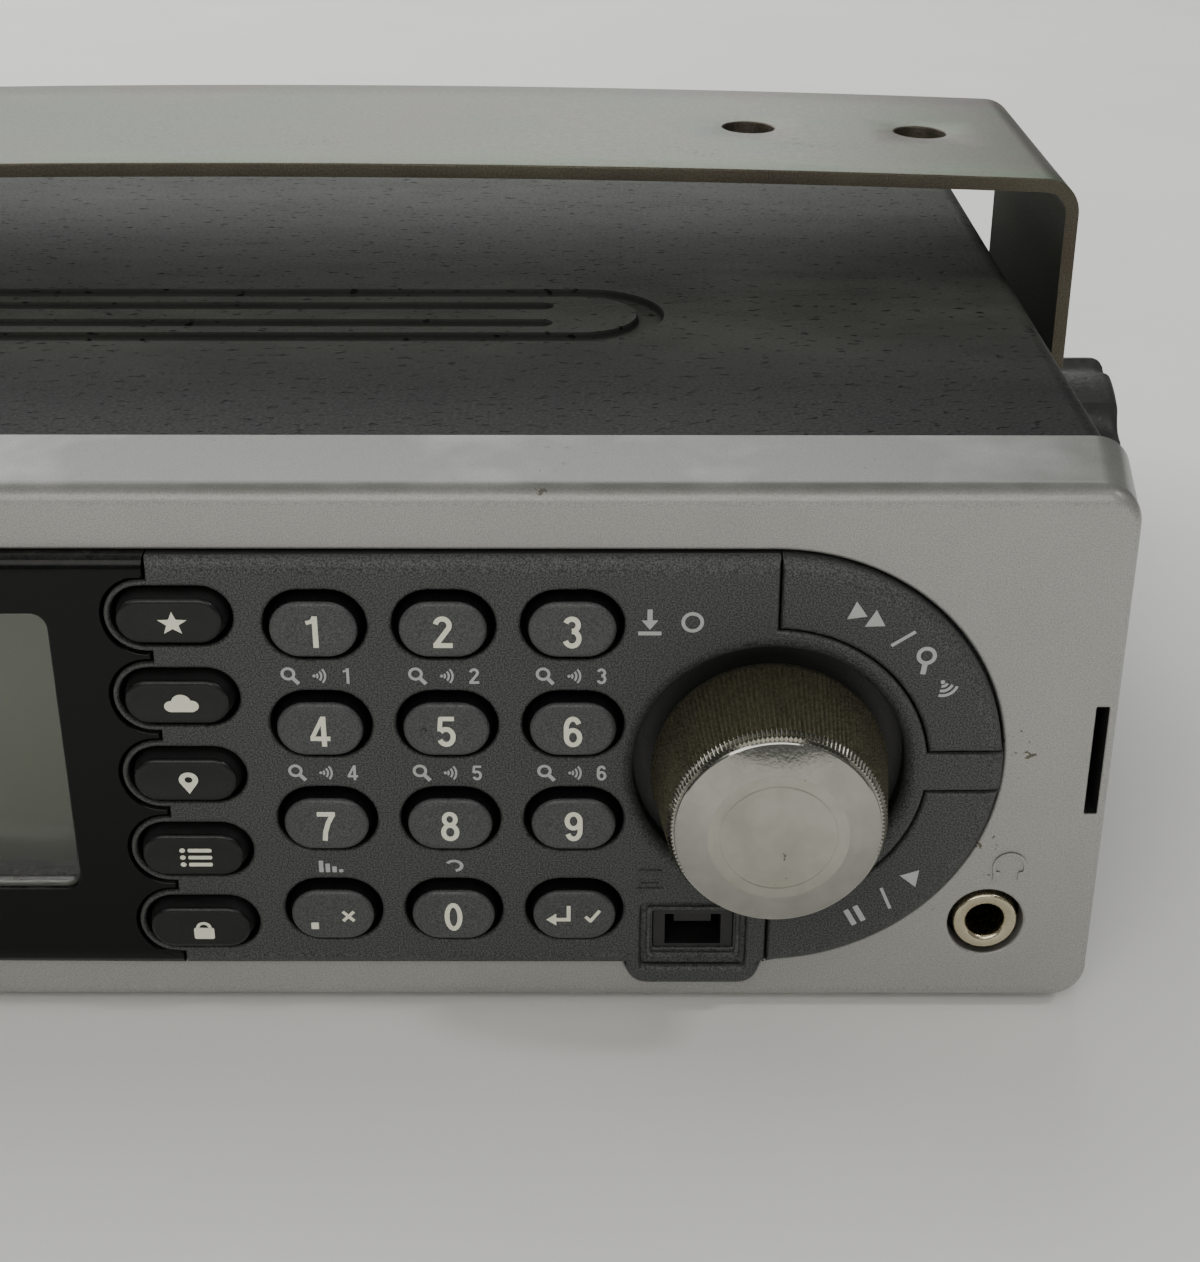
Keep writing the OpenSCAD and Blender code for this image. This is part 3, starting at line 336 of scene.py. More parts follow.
# Liquid crystal cell: olive grey under polished glass, darkened towards its lower edge by a painted shadow.
def makeDisplayCell(lowZ, highZ):
    made, tree, place = startMaterial("displayCell", {
        "Base Color": linear("#5f624c"), "Roughness": 0.28, "IOR": 1.52})
    height = addNode(tree, "ShaderNodeSeparateXYZ", {"Vector": place}, "Z")
    share = addNode(tree, "ShaderNodeMapRange", {
        "Value": height, "From Min": lowZ * mm, "From Max": highZ * mm})
    # painted shadow: the ramp's darker tones at the bottom stand for the shadow of the window's lower edge
    tone = addNode(tree, "ShaderNodeValToRGB", {
        "Fac": share, "stops": [(0.0, "#3f4333"), (0.2, "#52573e"), (1.0, "#5b6146")]})
    cells = addNode(tree, "ShaderNodeTexNoise", {"Vector": place, "Scale": 1 / (0.35 * mm), "Detail": 1})
    fine = addNode(tree, "ShaderNodeValToRGB", {"Fac": cells, "stops": [(0.3, "#4a4f38"), (0.7, "#656a4e")]})
    colour = addNode(tree, "ShaderNodeMix", {"data_type": "RGBA", 0: 0.18, 6: tone, 7: fine}, 2)
    return endMaterial(made, {"Base Color": colour})


# Clear cast acrylic: polished, with the faintest haze.
def makeClearAcrylic():
    made, tree, place = startMaterial("clearAcrylic", {
        "Base Color": linear("#f4f6f4"), "Roughness": 0.06, "IOR": 1.49, "Transmission Weight": 1.0})
    wiped = addNode(tree, "ShaderNodeTexNoise", {
        "Vector": place, "Scale": 1 / (3 * mm), "Detail": 3, "Roughness": 0.6})
    haze = addNode(tree, "ShaderNodeMapRange", {"Value": wiped, "To Min": 0.03, "To Max": 0.12})
    return endMaterial(made, {"Roughness": haze})


# Green solder mask on glass epoxy: glossy green with copper tracks showing under it.
def makeSolderMask():
    made, tree, place = startMaterial("solderMask", {
        "Base Color": linear("#1d5a33"), "Roughness": 0.32, "IOR": 1.55})
    tracks = addNode(tree, "ShaderNodeTexBrick", {
        "Vector": place, "Scale": 1 / (6 * mm), "Mortar Size": 0.06, "Brick Width": 0.7, "Row Height": 0.2,
        "Color1": linear("#1a5430"), "Color2": linear("#1f6038"), "Mortar": linear("#3d8355")})
    bump = addNode(tree, "ShaderNodeBump", {"Height": tracks, "Strength": 0.3, "Distance": 0.05 * mm})
    return endMaterial(made, {"Base Color": tracks, "Normal": bump})


# Mesh tools: outlines are drawn in X and Z, front faces look along -Y.

class Shell:
    def __init__(self):
        self.points, self.faces, self.marks, self.soft = [], [], [], []

    def ring(self, outline, depth):
        start = len(self.points)
        depths = depth if isinstance(depth, list) else [depth] * len(outline)
        self.points += [(p[0], d, p[1]) for p, d in zip(outline, depths)]
        return list(range(start, start + len(outline)))

    def face(self, corners, mark=0, soft=True):
        self.faces.append(tuple(corners))
        self.marks.append(mark)
        self.soft.append(soft)

    def bridge(self, front, back, mark=0, soft=True):
        for i in range(len(front)):
            j = (i + 1) % len(front)
            self.face((front[i], back[i], back[j], front[j]), mark, soft)

    # fills between closed rings in one plane; forward is True for a face looking along -Y
    def fill(self, rings, forward=True, mark=0, inner=(), depth=0):
        flat = [Vector((self.points[i][0], self.points[i][2])) for ring in rings for i in ring]
        known = [i for ring in rings for i in ring]
        loops, start = [], 0
        for ring in rings:
            loop = list(range(start, start + len(ring)))
            start += len(ring)
            area = sum(flat[loop[i - 1]].cross(flat[loop[i]]) for i in range(len(loop)))
            loops.append(loop if area > 0 else loop[::-1])
        flat += [Vector(p) for p in inner]
        coords, _, faces, origin, _, inside = delaunay_2d_cdt(flat, [], loops, 1, 1e-5)
        place = []
        for spot, found in zip(coords, origin):
            if found and found[0] < len(known):
                place.append(known[found[0]])
            else:
                place.append(len(self.points))
                self.points.append((spot.x, depth, spot.y))
        for corners, owners in zip(faces, inside):
            # a triangle inside an even number of rings lies in a hole
            if len(owners) % 2 == 0:
                continue
            a, b, c = (coords[i] for i in corners[:3])
            turn = (b - a).cross(c - b)
            order = corners if (turn > 0) == forward else corners[::-1]
            self.face([place[i] for i in order], mark, False)

    def add(self, other):
        start = len(self.points)
        self.points += other.points
        self.faces += [tuple(i + start for i in f) for f in other.faces]
        self.marks += other.marks
        self.soft += other.soft

    def map(self, rule):
        self.points = [tuple(rule(Vector(p))) for p in self.points]


def makePiece(name, shell, palette, body="case", nodes=(), sharpAngle=40):
    mesh = bpy.data.meshes.new(name)
    mesh.from_pydata([tuple(c * mm for c in p) for p in shell.points], [], shell.faces)
    mesh.polygons.foreach_set("material_index", shell.marks)
    mesh.polygons.foreach_set("use_smooth", shell.soft)
    mesh.validate()
    tidy = bmesh.new()
    tidy.from_mesh(mesh)
    loose = [v for v in tidy.verts if not v.link_faces]
    bmesh.ops.delete(tidy, geom=loose, context="VERTS")
    bmesh.ops.remove_doubles(tidy, verts=tidy.verts, dist=1e-7)
    for edge in tidy.edges:
        if len(edge.link_faces) == 2 and edge.calc_face_angle(0) > math.radians(sharpAngle):
            edge.smooth = False
    tidy.to_mesh(mesh)
    tidy.free()
    for material in palette:
        mesh.materials.append(materials[material])
    piece = bpy.data.objects.new(name, mesh)
    scene.collection.objects.link(piece)
    finishPiece(piece, body, nodes)
    return piece


def finishPiece(piece, body, nodes):
    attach(piece, body)
    if nodes:
        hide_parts(*nodes)


def arcPoints(cx, cz, r, fromDeg, toDeg, count):
    return [(cx + r * math.cos(math.radians(fromDeg + (toDeg - fromDeg) * i / count)),
             cz + r * math.sin(math.radians(fromDeg + (toDeg - fromDeg) * i / count)))
            for i in range(count + 1)]


def circleLoop(cx, cz, r, count=64):
    return arcPoints(cx, cz, r, 0, 360, count)[:-1]


def roundRectLoop(cx, cz, w, h, r, count=8):
    loop = []
    for sx, sz, start in ((1, 1, 0), (-1, 1, 90), (-1, -1, 180), (1, -1, 270)):
        loop += arcPoints(cx + sx * (w / 2 - r), cz + sz * (h / 2 - r), r, start, start + 90, count)
    return loop


def stadiumLoop(cx, cz, w, h, count=20):
    half = (w - h) / 2
    return (arcPoints(cx + half, cz, h / 2, -90, 90, count)
            + arcPoints(cx - half, cz, h / 2, 90, 270, count))


def barLoop(x0, z0, x1, z1, width):
    along = Vector((x1 - x0, z1 - z0)).normalized() * width / 2
    side = Vector((-along.y, along.x))
    return [(x0 - side.x, z0 - side.y), (x1 - side.x, z1 - side.y),
            (x1 + side.x, z1 + side.y), (x0 + side.x, z0 + side.y)]


# joins and cuts outlines; keep(names) says if a spot inside these named outlines is solid
def combine(outlines, keep):
    coords, faces, owners = [], [], []
    for name, loops in outlines.items():
        for loop in loops:
            faces.append(list(range(len(coords), len(coords) + len(loop))))
            coords += [Vector(p) for p in loop]
            owners.append(name)
    spots, _, triangles, _, _, origin = delaunay_2d_cdt(coords, [], faces, 1, 1e-5)
    sides = {}
    for corners, inside in zip(triangles, origin):
        if not keep({owners[i] for i in inside}):
            continue
        a, b, c = (spots[i] for i in corners[:3])
        if (b - a).cross(c - b) < 0:
            corners = corners[::-1]
        for i in range(len(corners)):
            sides[corners[i], corners[(i + 1) % len(corners)]] = True
    after = {a: b for a, b in sides if (b, a) not in sides}
    loops = []
    while after:
        first = next(iter(after))
        loop, at = [], first
        while at in after:
            loop.append(at)
            at = after.pop(at)
        points = [Vector(spots[i]) for i in loop]
        kept = [p for i, p in enumerate(points) if (p - points[i - 1]).length > 0.015]
        if len(kept) > 2:
            loops.append(kept)
    return loops


# moves each side of a loop inwards by its own distance, to the left of the way it runs
def insetLoop(loop, distances):
    count, moved = len(loop), []
    for i in range(count):
        a, b, c = Vector(loop[i - 1]), Vector(loop[i]), Vector(loop[(i + 1) % count])
        before, behind = (b - a).normalized(), (c - b).normalized()
        n1, n2 = Vector((-before.y, before.x)), Vector((-behind.y, behind.x))
        w1, w2 = distances[i - 1], distances[i]
        turn = before.cross(behind)
        if abs(turn) < 0.35:
            moved.append(b + (n1 + n2) * (w1 + w2) / 2 / max(1 + n1.dot(n2), 0.5))
        else:
            # where the two moved sides meet
            p1, p2 = b + n1 * w1, b + n2 * w2
            moved.append(p1 + before * (p2 - p1).cross(behind) / turn)
    return moved


def squareEdge(p):
    return 0.0, 0.0


# A plate with rounded front edges. edgeAt(middle of a side) gives (width, depth) of the rounding.
def plate(shell, loops, front, back, edgeAt=lambda p: (0.2, 0.2), steps=5, mark=0,
          frontFace=True, backFace=True, inner=(), faceMark=None, wallMark=None):
    tops, lows = [], []
    for loop in loops:
        count = len(loop)
        edges = [edgeAt((Vector(loop[i]) + Vector(loop[(i + 1) % count])) / 2) for i in range(count)]
        rings = []
        for k in range(steps + 1):
            turn = math.pi / 2 * k / steps
            outline = insetLoop(loop, [w * (1 - math.sin(turn)) for w, _ in edges])
            depths = [front + (edges[i - 1][1] + edges[i][1]) / 2 * (1 - math.cos(turn))
                      for i in range(count)]
            rings.append(shell.ring(outline, depths))
        rings.append(shell.ring(loop, back))
        for a, b in zip(rings, rings[1:]):
            shell.bridge(a, b, mark if wallMark is None or b is not rings[-1] else wallMark)
        tops.append(rings[0])
        lows.append(rings[-1])
    if frontFace:
        shell.fill(tops, True, mark if faceMark is None else faceMark, inner, front)
    if backFace:
        shell.fill(lows, False, mark)
    return tops, lows


# A turned part: profile of (radius, depth), round a line along Y, from the front centre round to the back
def turned(shell, cx, cz, profile, count=96, mark=0, wobble=None):
    rings = []
    for radius, depth in profile:
        if radius < 1e-4:
            shell.points.append((cx, depth, cz))
            rings.append([len(shell.points) - 1])
        else:
            angles = [2 * math.pi * i / count for i in range(count)]
            radii = [wobble(radius, a) if wobble else radius for a in angles]
            rings.append(shell.ring([(cx + r * math.cos(a), cz + r * math.sin(a))
                                     for r, a in zip(radii, angles)], depth))
    for a, b in zip(rings, rings[1:]):
        for i in range(count):
            j = (i + 1) % count
            if len(a) == 1:
                shell.face((a[0], b[i], b[j]), mark)
            elif len(b) == 1:
                shell.face((a[i], b[0], a[j]), mark)
            else:
                shell.face((a[i], b[i], b[j], a[j]), mark)
    return rings


def boxShell(shell, low, high):
    start = len(shell.points)
    shell.points += [(x, y, z) for z in (low[2], high[2]) for y in (low[1], high[1])
                     for x in (low[0], high[0])]
    for f in ((0, 2, 3, 1), (4, 5, 7, 6), (0, 1, 5, 4), (2, 6, 7, 3), (0, 4, 6, 2), (1, 3, 7, 5)):
        shell.face([start + i for i in f], 0, False)


# the outline of a pen stroke along a line of points
def strokeLoop(points, width):
    line = [Vector(p) for p in points]
    left, right = [], []
    for i, p in enumerate(line):
        along = (line[min(i + 1, len(line) - 1)] - line[max(i - 1, 0)]).normalized()
        side = Vector((-along.y, along.x)) * width / 2
        left.append(p + side)
        right.append(p - side)
    return right + left[::-1]


def ovalPoints(cx, cz, rx, rz, fromDeg=0, toDeg=360, count=18):
    points = [(cx + rx * x, cz + rz * z) for x, z in arcPoints(0, 0, 1, fromDeg, toDeg, count)]
    return points[:-1] if toDeg - fromDeg == 360 else points


def ribbon(cx, cz, r, thick, fromDeg, toDeg, count):
    return (arcPoints(cx, cz, r, fromDeg, toDeg, count)
            + arcPoints(cx, cz, r - thick, toDeg, fromDeg, count))


pen = 0.155
starPoints = [(0.55 * r * math.sin(math.pi * i / 5), 0.55 * r * math.cos(math.pi * i / 5))
              for i, r in zip(range(9, -1, -1), (0.42, 1) * 5)]
# signs and narrow grotesque numerals, each of added and cut outlines about (0, 0), 1 unit high
signLoops = {
    "0": ([ovalPoints(0, 0, 0.29, 0.51)], [ovalPoints(0, 0, 0.13, 0.35)]),
    "1": ([strokeLoop([(0.07, -0.5), (0.07, 0.5)], pen * 1.05),
           strokeLoop([(-0.2, 0.29), (-0.04, 0.33), (0.05, 0.46)], 0.12)], []),
    "2": ([strokeLoop(ovalPoints(0, 0.22, 0.205, 0.205, 170, -32) + [(-0.21, -0.4)], pen),
           strokeLoop([(-0.29, -0.425), (0.29, -0.425)], 0.15)], []),
    "3": ([strokeLoop(ovalPoints(-0.01, 0.23, 0.19, 0.195, 160, -90), pen),
           strokeLoop(ovalPoints(-0.01, -0.2, 0.21, 0.235, 90, -160), pen)], []),
    "4": ([strokeLoop([(0.12, -0.5), (0.12, 0.5)], pen), strokeLoop([(-0.3, -0.24), (0.31, -0.24)], 0.14),
           strokeLoop([(0.1, 0.46), (-0.25, -0.22)], 0.13)], []),
    "5": ([strokeLoop([(-0.21, 0.43), (0.25, 0.43)], 0.14), strokeLoop([(-0.17, 0.46), (-0.21, 0.02)], 0.14),
           strokeLoop(ovalPoints(-0.01, -0.17, 0.215, 0.255, 140, -155), pen)], []),
    "6": ([ovalPoints(0, -0.19, 0.285, 0.32),
           strokeLoop(ovalPoints(0, 0.12, 0.205, 0.31, 28, 180) + [(-0.205, -0.16)], pen)],
          [ovalPoints(0, -0.19, 0.125, 0.175)]),
    "7": ([strokeLoop([(-0.28, 0.425), (0.29, 0.425)], 0.15),
           strokeLoop([(0.22, 0.42), (0.06, 0.12), (-0.04, -0.2), (-0.07, -0.5)], pen)], []),
    "8": ([ovalPoints(0, 0.25, 0.25, 0.26), ovalPoints(0, -0.2, 0.29, 0.31)],
          [ovalPoints(0, 0.25, 0.105, 0.125), ovalPoints(0, -0.2, 0.135, 0.165)]),
    "lens": ([circleLoop(-0.1, 0.12, 0.38, 20), barLoop(0.12, -0.12, 0.42, -0.46, 0.2)],
             [circleLoop(-0.1, 0.12, 0.23, 20)]),
    "waves": ([ribbon(-0.3, 0, r, 0.13, -42, 42, 8) for r in (0.28, 0.52, 0.76)]
              + [circleLoop(-0.3, 0, 0.1, 12)], []),
    "star": ([starPoints], []),
    "cloud": ([circleLoop(-0.35, -0.08, 0.26, 18), circleLoop(0.02, 0.12, 0.36, 20),
               circleLoop(0.4, -0.06, 0.26, 18), roundRectLoop(0.02, -0.22, 1.0, 0.24, 0.1, 3)], []),
    "pin": ([arcPoints(0, 0.14, 0.36, -30, 210, 18) + [(0, -0.55)]], [circleLoop(0, 0.14, 0.15, 14)]),
    "list": ([loop for row in (0.36, 0, -0.36)
              for loop in (roundRectLoop(0.14, row, 0.9, 0.17, 0.05, 2), circleLoop(-0.52, row, 0.11, 10))],
             []),
    "lock": ([roundRectLoop(0, -0.2, 0.78, 0.58, 0.08, 3), ribbon(0, 0.1, 0.3, 0.13, 0, 180, 12)], []),
    "steps": ([roundRectLoop(-0.45 + 0.3 * i, -0.1 - 0.1 * i, 0.2, 0.8 - 0.2 * i, 0.04, 2)
               for i in range(4)], []),
    "back": ([ribbon(0.08, -0.04, 0.42, 0.16, -80, 150, 14), [(-0.16, 0.5), (-0.02, -0.12), (-0.62, 0.1)]],
             []),
    "cross": ([barLoop(-0.35, -0.35, 0.35, 0.35, 0.2), barLoop(-0.35, 0.35, 0.35, -0.35, 0.2)], []),
    "tick": ([barLoop(-0.42, 0.0, -0.1, -0.35, 0.2), barLoop(-0.16, -0.36, 0.42, 0.42, 0.2)], []),
    "enter": ([barLoop(-0.2, -0.2, 0.5, -0.2, 0.17), barLoop(0.42, -0.2, 0.42, 0.5, 0.17),
               [(-0.55, -0.2), (-0.12, -0.5), (-0.12, 0.1)]], []),
    "play": ([[(-0.35, -0.5), (0.45, 0), (-0.35, 0.5)]], []),
    "pause": ([roundRectLoop(s * 0.24, 0, 0.26, 0.95, 0.03, 2) for s in (-1, 1)], []),
    "slash": ([barLoop(-0.18, -0.6, 0.18, 0.6, 0.15)], []),
    "push": ([barLoop(0, 0.55, 0, 0.0, 0.2), [(-0.32, 0.08), (0, -0.32), (0.32, 0.08)],
              barLoop(-0.45, -0.48, 0.45, -0.48, 0.16)], []),
    "dial": ([circleLoop(0, 0, 0.48, 24), barLoop(0, 0.1, 0, 0.46, 0.12)], [circleLoop(0, 0, 0.33, 24)]),
    "phones": ([ribbon(0, -0.02, 0.5, 0.09, -25, 205, 22)]
               + [roundRectLoop(s * 0.36, -0.34, 0.2, 0.36, 0.07, 3) for s in (-1, 1)], []),
    "computer": ([roundRectLoop(0, 0.2, 0.86, 0.66, 0.06, 3), roundRectLoop(0, -0.38, 1.05, 0.2, 0.05, 3)],
                 [roundRectLoop(0, 0.2, 0.7, 0.5, 0.03, 3)]),
}
signLoops["9"] = tuple([[(-x, -z) for x, z in loop] for loop in loops] for loops in signLoops["6"])


def printSign(shell, kind, cx, cz, height, depth, mark=0, turnDeg=0, stretch=1.0, thick=0.03):
    spin = Matrix.Rotation(math.radians(turnDeg), 2)
    outlines = {name: [[Vector((cx, cz)) + spin @ Vector((p[0] * stretch, p[1])) * height for p in loop]
                       for loop in loops] for name, loops in zip(("add", "cut"), signLoops[kind])}
    loops = combine(outlines, lambda inside: "add" in inside and "cut" not in inside)
    plate(shell, loops, depth - thick + 0.01, depth + 0.01, squareEdge, 1, mark)


# A geometry node tree that copies a part; lay(tree, given) says on which points and how turned.
def makeCopyTree(name, sockets, lay):
    tree = bpy.data.node_groups.new(name, "GeometryNodeTree")
    for label, kind in dict(Geometry="Geometry", Part="Object", Material="Material", **sockets).items():
        tree.interface.new_socket(label, in_out="INPUT", socket_type="NodeSocket" + kind)
    tree.interface.new_socket("Geometry", in_out="OUTPUT", socket_type="NodeSocketGeometry")
    given, out = tree.nodes.new("NodeGroupInput").outputs, tree.nodes.new("NodeGroupOutput")
    part = addNode(tree, "GeometryNodeObjectInfo", {"Object": given["Part"]}, "Geometry")
    copies = addNode(tree, "GeometryNodeInstanceOnPoints", dict(lay(tree, given), Instance=part))
    real = addNode(tree, "GeometryNodeRealizeInstances", {"Geometry": copies})
    dressed = addNode(tree, "GeometryNodeSetMaterial", {"Geometry": real, "Material": given["Material"]})
    tree.links.new(dressed, out.inputs["Geometry"])
    return tree


# turned round an axis, such as knurl teeth or grip ribs
def layRing(tree, given):
    step = addNode(tree, "ShaderNodeMath", {"operation": "DIVIDE", 0: 2 * math.pi, 1: given["Count"]})
    index = addNode(tree, "GeometryNodeInputIndex")
    angle = addNode(tree, "ShaderNodeMath", {"operation": "MULTIPLY", 0: index, 1: step})
    return {"Points": addNode(tree, "GeometryNodePoints", {"Count": given["Count"],
                                                           "Position": given["Centre"]}),
            "Rotation": addNode(tree, "FunctionNodeAxisAngleToRotation", {"Axis": given["Axis"],
                                                                          "Angle": angle})}


# on each point of a mesh, the part's own +Z turned along the point's "facing"
def laySpots(tree, given):
    facing = addNode(tree, "GeometryNodeInputNamedAttribute",
                     {"data_type": "FLOAT_VECTOR", "Name": "facing"}, "Attribute")
    return {"Points": given["Geometry"],
            "Rotation": addNode(tree, "FunctionNodeAlignRotationToVector", {"axis": "Z", "Vector": facing})}


# in an evenly spaced row, such as fins
def layRow(tree, given):
    return {"Points": addNode(tree, "GeometryNodeMeshLine", {
        "Count": given["Count"], "Start Location": given["Start"], "Offset": given["Step"]})}


ringTree = makeCopyTree("copiesRoundAnAxis", dict(Count="Int", Axis="Vector", Centre="Vector"), layRing)
spotTree = makeCopyTree("copiesOnSpots", {}, laySpots)
rowTree = makeCopyTree("copiesInARow", dict(Count="Int", Start="Vector", Step="Vector"), layRow)


def partObject(shell):
    mesh = bpy.data.meshes.new("part")
    mesh.from_pydata([tuple(c * mm for c in p) for p in shell.points], [], shell.faces)
    mesh.polygons.foreach_set("use_smooth", shell.soft)
    mesh.set_sharp_from_angle(angle=math.radians(30))
    part = bpy.data.objects.new("part", mesh)
    scene.collection.objects.link(part)
    return part


# runs a tree and keeps the plain mesh it makes
def repeatPart(name, tree, part, values, material, body="case", nodes=(), spots=None):
    base = bpy.data.meshes.new(name + "Base")
    if spots:
        base.from_pydata([tuple(c * mm for c in p) for p, _ in spots], [], [])
        way = base.attributes.new("facing", "FLOAT_VECTOR", "POINT")
        for i, (_, facing) in enumerate(spots):
            way.data[i].vector = facing
    holder = bpy.data.objects.new(name + "Holder", base)
    scene.collection.objects.link(holder)
    modifier = holder.modifiers.new("repeat", "NODES")
    modifier.node_group = tree
    given = dict(values, Part=part, Material=materials[material])
    for item in tree.interface.items_tree:
        if item.in_out == "INPUT" and item.name in given:
            modifier[item.identifier] = given[item.name]
    holder.update_tag()
    bpy.context.view_layer.update()
    mesh = bpy.data.meshes.new_from_object(holder.evaluated_get(bpy.context.evaluated_depsgraph_get()))
    holder.modifiers.remove(modifier)
    bpy.data.objects.remove(holder)
    bpy.data.objects.remove(part)
    mesh.name = name
    piece = bpy.data.objects.new(name, mesh)
    scene.collection.objects.link(piece)
    finishPiece(piece, body, nodes)
    return piece


def boxOf(node):
    low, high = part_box(node)
    return low / mm, high / mm


def centreOf(node):
    low, high = boxOf(node)
    return (low + high) / 2


# Camera, floor and light.

view = dict(place=(0.04352, -0.23861, 0.12325), pitchDown=26.457, yaw=0.13, lens=57.94)
camera = bpy.data.objects.new("camera", bpy.data.cameras.new("camera"))
scene.collection.objects.link(camera)
camera.location = view["place"]
camera.rotation_euler = (math.radians(90 - view["pitchDown"]), 0, math.radians(view["yaw"]))
camera.data.lens, camera.data.sensor_width = view["lens"], 36.0
camera.data.clip_start, camera.data.clip_end = 0.005, 20
scene.camera = camera

floorMesh = bpy.data.meshes.new("floor")
floorMesh.from_pydata([(-4, -4, 0), (4, -4, 0), (4, 4, 0), (-4, 4, 0)], [], [(0, 1, 2, 3)])
floor = bpy.data.objects.new("floor", floorMesh)
scene.collection.objects.link(floor)
# pale matt card: even, with a faint cloudiness
cardLook = dict(tone="#ebebe7", second="#f0f0ec", mottleMm=60, roughness=0.8, grainMm=2.0, bump=0.05,
                ior=1.5)
floorMesh.materials.append(surfaceOf("paleCard", cardLook))
floor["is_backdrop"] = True

world = bpy.data.worlds.new("studio")
scene.world = world
world.use_nodes = True
world.node_tree.nodes["Background"].inputs["Color"].default_value = linear("#e2e5e4")
world.node_tree.nodes["Background"].inputs["Strength"].default_value = 0.28
lights = {
    # name: place, aim, width, height, watts, colour
    "overhead": ((-0.42, 0.05, 1.2), (0.0, 0.0, 0.03), 1.5, 1.5, 3.0, "#fffefa"),
    "frontFill": ((-0.1, -1.0, 0.75), (0.0, 0.0, 0.03), 1.1, 0.6, 6.0, "#fffbf7"),
    "backWash": ((-0.62, 0.82, 0.82), (-0.05, 0.0, 0.0), 2.7, 1.15, 23.5, "#ffffff"),
    "rightGlint": ((0.62, -0.3, 0.8), (0.08, -0.06, 0.05), 0.12, 0.12, 1.3, "#ffffff"),
}
for name, (place, aim, width, height, watts, tone) in lights.items():
    lamp = bpy.data.lights.new(name, "AREA")
    lamp.shape, lamp.size, lamp.size_y = "RECTANGLE", width, height
    lamp.energy, lamp.color = watts, linear(tone)[:3]
    holder = bpy.data.objects.new(name, lamp)
    scene.collection.objects.link(holder)
    holder.location = place
    holder.rotation_euler = (Vector(aim) - Vector(place)).to_track_quat("-Z", "Y").to_euler()
print("stage: camera, floor and lights")

# Shared places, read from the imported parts.

bezelLow, bezelHigh = boxOf("front_bezel")
frontY = bezelLow.y
panelLow, panelHigh = boxOf("keypad_panel")
lensLow, lensHigh = boxOf("display_lens")
knobCentre = centreOf("scroll_cap")
knobX, midZ = knobCentre.x, knobCentre.z
flange = 1.2
pillR = (lensHigh.z - lensLow.z) / 2 - flange
lensArcX = lensLow.x + flange + pillR
panelY = panelLow.y
serialLow, serialHigh = boxOf("serial_socket")
serialX, serialZ = (serialLow.x + serialHigh.x) / 2, (serialLow.z + serialHigh.z) / 2
fnLow, fnHigh = boxOf("fn_key_1")
fnX = (fnLow.x + fnHigh.x) / 2
fnSize = (fnHigh.x - fnLow.x - flange, fnHigh.z - fnLow.z - flange)
fnNodes = ["fn_key_%d" % i for i in range(1, 6)]
numberNodes = ["key_1", "key_2", "key_3", "key_4", "key_5", "key_6", "key_7", "key_8", "key_9",
               "key_point", "key_0", "key_enter"]
numLow, numHigh = boxOf("key_1")
numSize = (numHigh.x - numLow.x - flange, numHigh.z - numLow.z - flange)
splitX = fnX - 2
jackCentre = centreOf("headphone_ferrule")
materials["spunAluminium"] = makeSpunFace(knobCentre)
materials["passivatedZinc"] = makePassivatedZinc()
lcdLow, lcdHigh = boxOf("lcd_glass")
materials["displayCell"] = makeDisplayCell(lcdLow.z + 2, lcdHigh.z - 2)
materials["clearAcrylic"] = makeClearAcrylic()
materials["solderMask"] = makeSolderMask()
print("stage: materials")

# Outlines of the front.

frontFit = dict(gap=0.15, recessR=12.6, arcInner=14.6, webHalf=2.0, collar=0.55,
                bumpW=12.85, bumpH=12.0, bumpR=2.0)


def windowLoop(grow=0.0):
    r = pillR + grow
    return (arcPoints(knobX, midZ, r, -90, 90, 72) + arcPoints(lensArcX, midZ, r, 90, 270, 72))


def bumpLoop(grow=0.0):
    return roundRectLoop(serialX, serialZ, frontFit["bumpW"] + 2 * grow,
                         frontFit["bumpH"] + 2 * min(grow, 0.3), frontFit["bumpR"], 6)


def sideBlock(x0, x1):
    return [(x0, -5), (x1, -5), (x1, 90), (x0, 90)]


def arcKeyLoop(side, inset):
    outer, inside = pillR - inset, frontFit["arcInner"] + inset
    startX, web = knobX + 0.3 + inset, frontFit["webHalf"] + inset
    lowOut = math.degrees(math.asin(web / outer))
    highOut = math.degrees(math.acos((startX - knobX) / outer))
    lowIn = math.degrees(math.asin(web / inside))
    highIn = math.degrees(math.acos((startX - knobX) / inside))
    loop = (arcPoints(knobX, midZ, outer, lowOut, highOut, 40)
            + arcPoints(knobX, midZ, inside, highIn, lowIn, 28))
    if side < 0:
        loop = [(x, 2 * midZ - z) for x, z in reversed(loop)]
    return loop


def onWindow(p, reach=0.05):
    inside = Vector((min(max(p.x, lensArcX), knobX), midZ))
    return abs((Vector(p) - inside).length - pillR) < reach


collarLoops = [stadiumLoop(fnX, centreOf(n).z, fnSize[0] + 2 * frontFit["collar"],
                           fnSize[1] + 2 * frontFit["collar"], 18) for n in fnNodes]
fnOpenings = [stadiumLoop(fnX, centreOf(n).z, fnSize[0], fnSize[1], 18) for n in fnNodes]
numberOpenings = [stadiumLoop(centreOf(n).x, centreOf(n).z, numSize[0], numSize[1], 18)
                  for n in numberNodes]

# Bezel: silver painted moulding with a rolled front edge.

